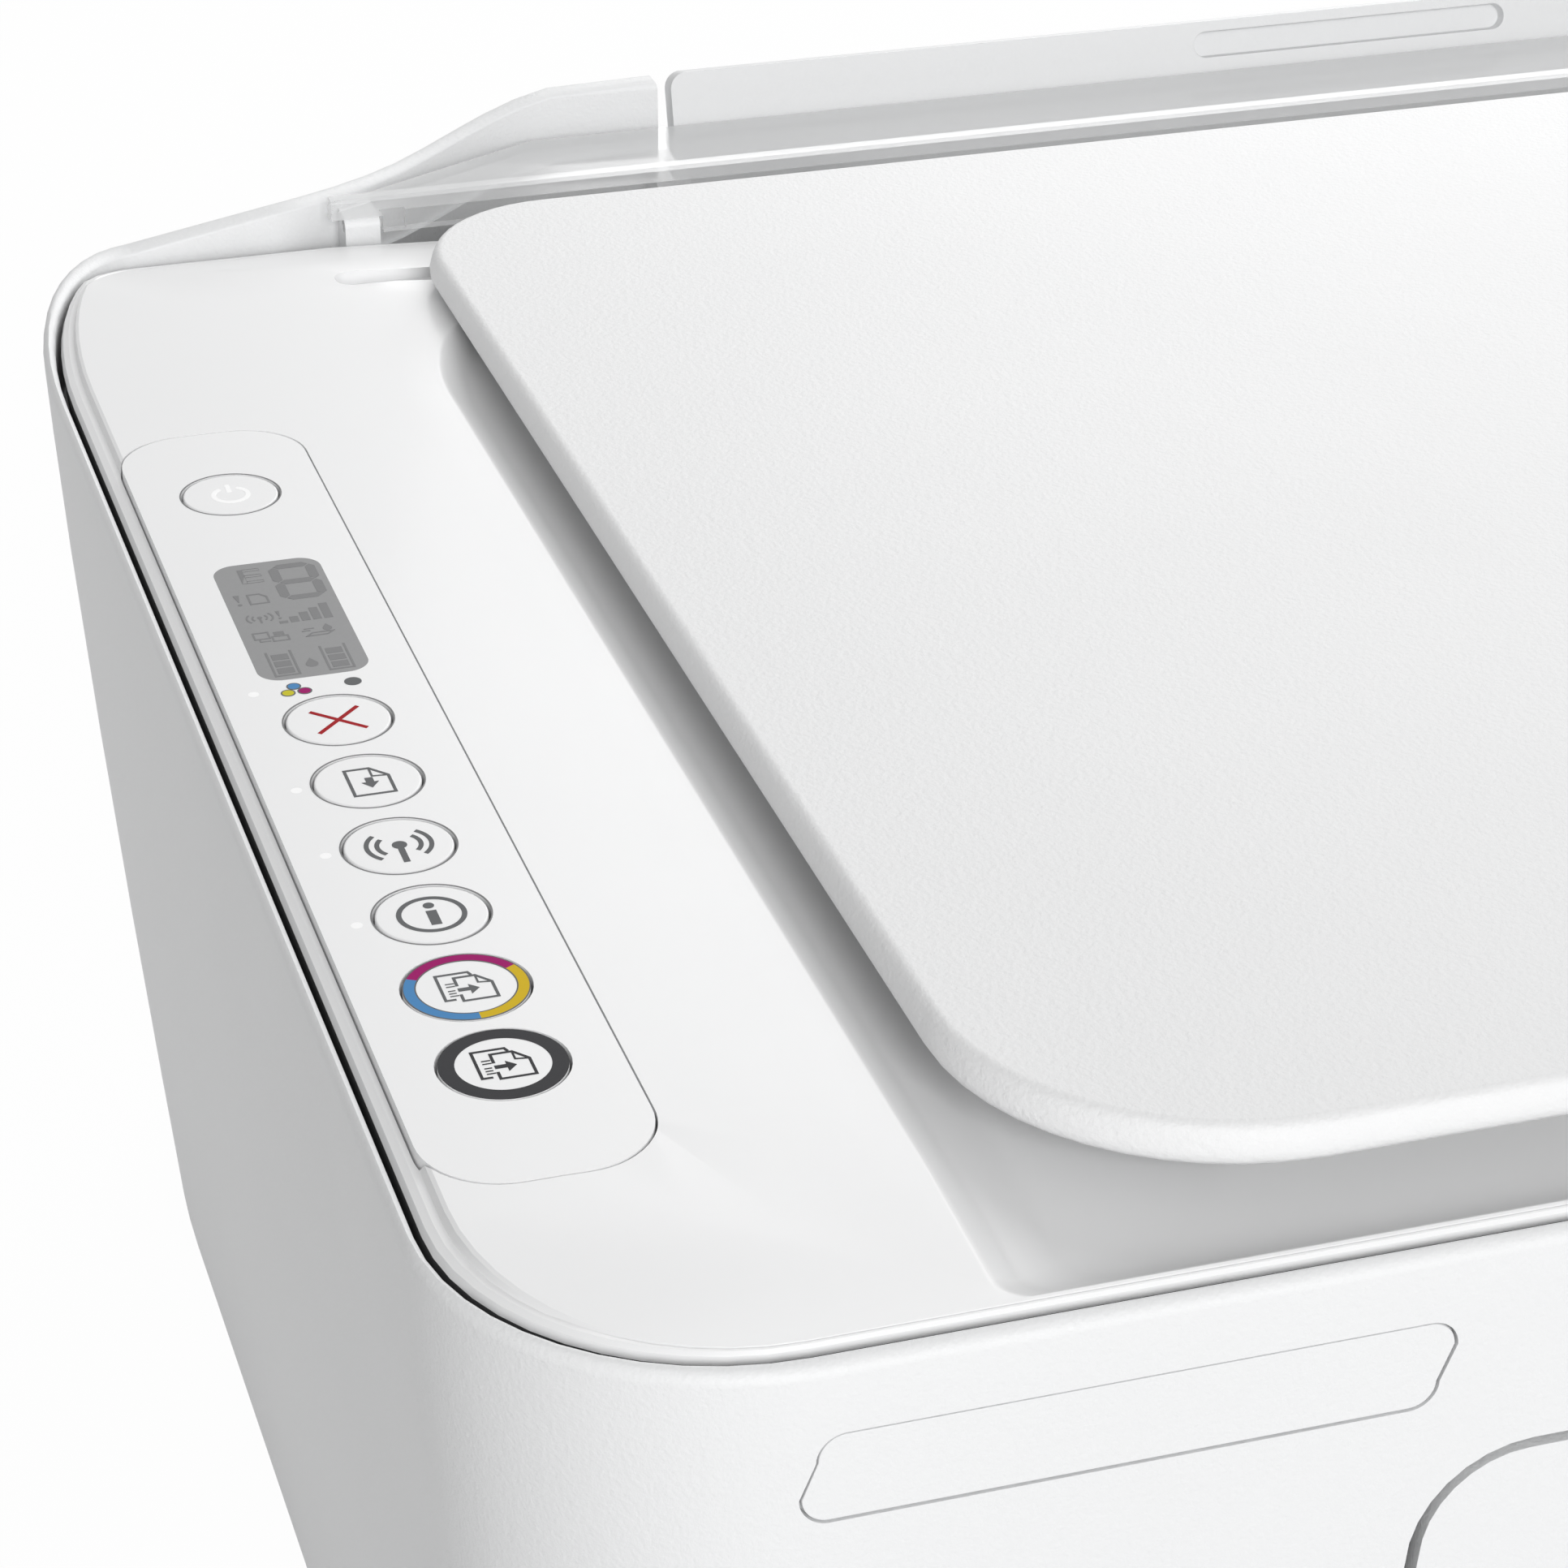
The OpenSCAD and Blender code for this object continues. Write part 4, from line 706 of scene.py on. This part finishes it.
BUTTONS = {
    "power": ("power_button", "power_key"),
    "cancel": ("cancel_button", "cancel_key"),
    "resume": ("resume_button", "resume_key"),
    "wireless": ("wireless_button", "wireless_key"),
    "info": ("info_button", "info_key"),
    "colour_copy": ("colour_copy_button", "colour_copy_key"),
    "black_copy": ("black_copy_button", "black_copy_key"),
}
SMALL_BUTTONS = ("power", "cancel", "resume", "wireless", "info")


def top_centre(node):
    """Centre of the top of a node's box, in metres."""
    low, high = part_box(node)
    return ((low[0] + high[0]) / 2, (low[1] + high[1]) / 2, high[2])


class PRINTER_OT_buttons(bpy.types.Operator):
    """Model the seven round buttons with softened rims"""
    bl_idname = "printer.buttons"
    bl_label = "Buttons"

    def execute(self, context):
        edge = context.scene.printer_marks.edge
        for kind, (node, body) in BUTTONS.items():
            soft_edged(node, kind + "_cap", FINISHES["panel"], "panel_plastic", body, edge, 3)
        return {"FINISHED"}


def page(x0, x1, y0, y1, fold):
    """Outline points of a sheet with its top right corner folded."""
    return [(x0, y0), (x1, y0), (x1, y1 - fold * 1.15), (x1 - fold, y1), (x0, y1)]


def folded_corner(x1, y1, fold, width):
    """The flap of the folded corner, inside the sheet's outline."""
    inset = width / 2
    return line([(x1 - fold, y1 - inset), (x1 - fold, y1 - fold * 1.05),
                 (x1 - inset, y1 - fold * 1.15)], width * 0.7)


class PRINTER_OT_pictograms(bpy.types.Operator):
    """Print the buttons' pictograms and rings"""
    bl_idname = "printer.pictograms"
    bl_label = "Pictograms"

    def execute(self, context):
        stroke = context.scene.printer_marks.stroke / MM
        self.power_sign()
        self.print_sign("cancel", "cross", [cross(2.85, 0.52)])
        self.resume_sign(stroke)
        self.wireless_sign()
        self.info_sign()
        self.copy_rings()
        for kind, finish in (("colour_copy", "line"), ("black_copy", "ink")):
            self.copy_sign(kind, finish, stroke * 0.86)
        for kind in SMALL_BUTTONS:
            self.rim_line(kind)
        return {"FINISHED"}

    @staticmethod
    def print_sign(kind, finish, outlines, suffix="_sign", lift=0.0):
        """Prints outlines, in millimetres, round the centre of a button."""
        node, body = BUTTONS[kind]
        mark(kind + suffix, outlines, top_centre(node), FINISHES[finish], "panel_plastic", body,
             lift)

    def power_sign(self):
        """A ring with a gap at its top and a stem in the gap."""
        ring = line(arc(0, -0.1, 2.1, 118, 422, 40), 0.55)
        self.print_sign("power", "light", [ring, bar(-0.28, 0.28, 0.7, 2.9)])

    def resume_sign(self, stroke):
        """A sheet with a folded corner and an arrow that points down."""
        left, right, bottom, top, fold = -2.0, 2.4, -3.05, 2.8, 1.75
        arrow = [(-0.25, 0.7), (-0.25, -0.3), (-0.75, -0.3), (0.2, -1.6), (1.15, -0.3),
                 (0.65, -0.3), (0.65, 0.7)][::-1]
        self.print_sign("resume", "line",
                        loop(page(left, right, bottom, top, fold), stroke) + [arrow])
        self.print_sign("resume", "line", [folded_corner(right, top, fold, stroke)], "_fold",
                        FOLD_LIFT)

    def wireless_sign(self):
        """Two waves on each side of a round-headed mast."""
        waves = [line(arc(0.05, 0.15, r, a - h, a + h), 0.52)
                 for r, h in ((2.3, 44), (3.4, 48)) for a in (0, 180)]
        mast = arc(0.1, 0.15, 0.8, -64, 244, 40) + [(-0.25, -3.6), (0.45, -3.6)]
        self.print_sign("wireless", "line", waves + [mast])

    def info_sign(self):
        """A dotted stem in a ring."""
        self.print_sign("info", "line",
                        [circle(0, 0, 3.6), circle(0, 0, 3.05), circle(0.08, 1.8, 0.58, 32),
                         bar(-0.47, 0.63, -2.15, 0.75)])

    def copy_rings(self):
        """The three-coloured ring, its thin outlines and the black ring."""
        inner, outer = COLOUR_RING
        for ink, name, start, end in (("magenta", "_magenta_arc", 27, 150),
                                      ("cyan", "_blue_arc", 150, 270),
                                      ("yellow", "_yellow_arc", 270, 387)):
            self.print_sign("colour_copy", ink, [band(0, 0, inner, outer, start, end)], name)
        self.print_sign("colour_copy", "line", [circle(0, 0, r, 96) for r in COLOUR_RING_LINES],
                        "_outline")
        self.print_sign("black_copy", "ink", [circle(0, 0, r, 96) for r in BLACK_RING], "_ring")

    def copy_sign(self, kind, finish, stroke):
        """A sheet in front of another, with an arrow and lines of print."""
        back = line([(0.95, 2.15), (0.72, 2.72), (-2.55, 2.72), (-2.55, -2.1), (-1.5, -2.1)],
                    stroke)
        front = line([(-0.85, 0.35), (-0.85, 1.95), (1.3, 1.95), (2.65, 0.35), (2.65, -2.55),
                      (-0.85, -2.55), (-0.85, -1.3)], stroke)
        arrow = [(-0.95, -0.72), (0.25, -0.72), (0.25, -1.42), (1.22, -0.45), (0.25, 0.45),
                 (0.25, -0.12), (-0.95, -0.12)]
        rows = [bar(-1.95, -1.2 if k in (2, 3) else -1.05, y, y + 0.17)
                for k, y in enumerate((0.85, 0.32, -0.5, -1.0, -1.5))]
        flap = line([(1.3, 1.8), (1.3, 0.55), (2.5, 0.35)], stroke * 0.7)
        self.print_sign(kind, finish, [back, front, arrow] + rows)
        self.print_sign(kind, finish, [flap], "_fold", FOLD_LIFT)

    @staticmethod
    def rim_line(kind):
        """The thin ring on the panel round a small button."""
        node = BUTTONS[kind][0]
        x, y, _ = top_centre(node)
        rim = (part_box(node)[1][0] - x) / MM + RIM_GAP
        place = (x, y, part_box("control_panel_bezel")[1][2])
        mark(kind + "_rim_line", [circle(0, 0, rim + RIM_WIDTH, 80), circle(0, 0, rim, 80)],
             place, FINISHES["rim_line"], "panel_plastic", "chassis")


def seven_segment(x, y, width, height, stroke, shown):
    """The named segments of a seven-segment digit, each a bevelled bar."""
    gap = stroke * 0.12
    half = stroke / 2
    rows = {"a": y + height - half, "g": y + height / 2, "d": y + half}
    outlines = []
    for key, level in rows.items():
        if key in shown:
            x0, x1 = x + half + gap, x + width - half - gap
            outlines.append([(x0, level), (x0 + half, level - half), (x1 - half, level - half),
                             (x1, level), (x1 - half, level + half), (x0 + half, level + half)])
    columns = {"f": (x + half, "g", "a"), "e": (x + half, "d", "g"),
               "b": (x + width - half, "g", "a"), "c": (x + width - half, "d", "g")}
    for key, (middle, low, high) in columns.items():
        if key in shown:
            y0, y1 = rows[low] + gap, rows[high] - gap
            outlines.append([(middle, y0), (middle + half, y0 + half), (middle + half, y1 - half),
                             (middle, y1), (middle - half, y1 - half), (middle - half, y0 + half)])
    return outlines


def drop(x, y, r):
    """An ink drop, point up."""
    return arc(x, y, r, -210, 30, 20) + [(x, y + r * 2.1)]


class PRINTER_OT_display(bpy.types.Operator):
    """Draw the display's resting segments"""
    bl_idname = "printer.display"
    bl_label = "Display"

    def execute(self, context):
        digit = seven_segment(0.1, 4.5, 5.5, 9.7, 1.15, "abcdefg")
        for name, outlines in (("display_letter", self.letter()), ("display_digit", digit),
                               ("display_paper_sign", self.paper()),
                               ("display_signal", self.signal()),
                               ("display_states", self.states()),
                               ("display_gauges", self.gauges())):
            mark(name, outlines, top_centre("lcd_window"), FINISHES["segment"], "display_plastic",
                 "chassis")
        return {"FINISHED"}

    @staticmethod
    def letter():
        """The letter E."""
        return [bar(-3.45, -2.85, 10.2, 14.0)] + [bar(-2.85, -0.9, y, y + 0.58)
                                                  for y in (10.2, 11.82, 13.42)]

    @staticmethod
    def paper():
        """A sheet with a warning mark."""
        stem = [(-5.2, 7.3), (-4.85, 5.4), (-4.75, 5.4), (-4.5, 7.3)]
        return (loop(page(-3.55, -1.45, 4.6, 7.1, 0.75), 0.24)
                + [stem, circle(-4.8, 4.75, 0.26, 16)])

    @staticmethod
    def signal():
        """A small mast with its waves, five rising bars and a warning mark."""
        waves = [line(arc(-3.3, 0.75, r, a - 42, a + 42, 10), 0.22)
                 for r in (0.85, 1.5) for a in (0, 180)]
        mast = [circle(-3.3, 0.85, 0.3, 16), bar(-3.42, -3.18, -0.6, 0.5)]
        bars = [bar(-1.35 + 1.3 * k, -0.35 + 1.3 * k, -1.3, -0.75 + 0.85 * k) for k in range(5)]
        warning = [[(-1.3, 2.0), (-1.1, 0.6), (-1.0, 0.6), (-0.85, 2.0)],
                   circle(-1.05, 0.1, 0.2, 12)]
        return waves + mast + bars + warning

    @staticmethod
    def states():
        """Two linked screens, a scanner's lid, a paper stack and a drop."""
        screens = loop([(-4.9, -4.7), (-3.2, -4.7), (-3.2, -3.1), (-4.9, -3.1)], 0.22)
        screens += loop([(-2.9, -5.6), (-1.1, -5.6), (-1.1, -4.4), (-2.9, -4.4)], 0.22)
        link = [bar(-2.6, -1.4, -4.1, -3.3), line([(-4.4, -4.9), (-4.4, -5.4), (-3.2, -5.4)], 0.2)]
        lid = loop([(1.0, -5.4), (3.4, -5.4), (4.1, -4.7), (1.7, -4.7)], 0.22)
        stack = [bar(0.6, 1.6, -4.15, -3.95), bar(0.9, 2.1, -3.65, -3.45)]
        return screens + link + lid + stack + [drop(3.6, -3.9, 0.55)]

    @staticmethod
    def gauges():
        """The two ink gauges, three bars each, with a drop between them."""
        outlines = []
        for x in (-4.45, 1.75):
            outlines += [line([(x, -8.3), (x, -14.4), (x + 2.75, -14.4), (x + 2.75, -8.3)], 0.26)]
            outlines += [bar(x + 0.42, x + 2.33, y, y + 1.35) for y in (-13.9, -12.15, -10.4)]
        return outlines + [drop(0.05, -12.4, 0.72)]


class PRINTER_OT_dots(bpy.types.Operator):
    """Print the ink dots under the display"""
    bl_idname = "printer.dots"
    bl_label = "Ink dots"

    def execute(self, context):
        middle, _, top = top_centre("lcd_window")
        place = (middle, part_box("lcd_window")[0][1], top)
        for name, ink, x, y in (("cyan", "cyan", -3.07, -1.86), ("yellow", "lime", -3.98, -3.3),
                                ("magenta", "magenta", -2.1, -3.25)):
            self.put(name + "_dot", [circle(x, y, 0.66, 32)], place, ink)
            self.put(name + "_dot_line", [circle(x, y, 0.83, 40), circle(x, y, 0.66, 40)], place,
                     "line")
        self.put("black_dot", [circle(3.5, -2.5, 0.98, 40)], place, "line")
        return {"FINISHED"}

    @staticmethod
    def put(name, outlines, place, ink):
        """Prints a dot on the panel."""
        mark(name, outlines, place, FINISHES[ink], "panel_plastic", "chassis")


class PRINTER_PT_sidebar(bpy.types.Panel):
    """Lists the printer's sizes, colours and steps"""
    bl_idname = "PRINTER_PT_sidebar"
    bl_label = "Printer"
    bl_space_type = "VIEW_3D"
    bl_region_type = "UI"
    bl_category = "Printer"

    def draw(self, context):
        layout = self.layout
        for group in GROUPS:
            settings = getattr(context.scene, group)
            for key in settings.bl_rna.properties.keys():
                if key not in ("rna_type", "name"):
                    layout.prop(settings, key)
        for operator in STEPS:
            layout.operator(operator.bl_idname)


GROUPS = {"printer_plastics": PlasticColours, "printer_prints": PrintColours,
          "printer_marks": MarkSizes, "printer_stage": StageSettings}
STEPS = (PRINTER_OT_stage, PRINTER_OT_finishes, PRINTER_OT_shells, PRINTER_OT_mouldings,
         PRINTER_OT_buttons, PRINTER_OT_pictograms, PRINTER_OT_display, PRINTER_OT_dots)


def register():
    for group in GROUPS.values():
        bpy.utils.register_class(group)
    for name, group in GROUPS.items():
        setattr(bpy.types.Scene, name, PointerProperty(type=group))
    for step in STEPS:
        bpy.utils.register_class(step)
    bpy.utils.register_class(PRINTER_PT_sidebar)


def unregister():
    bpy.utils.unregister_class(PRINTER_PT_sidebar)
    for step in reversed(STEPS):
        bpy.utils.unregister_class(step)
    for name, group in GROUPS.items():
        delattr(bpy.types.Scene, name)
        bpy.utils.unregister_class(group)


def main():
    register()
    for step in STEPS:
        family, name = step.bl_idname.split(".")
        getattr(getattr(bpy.ops, family), name)()
    bpy.ops.object.select_all(action="DESELECT")


if __name__ == "__main__":
    main()
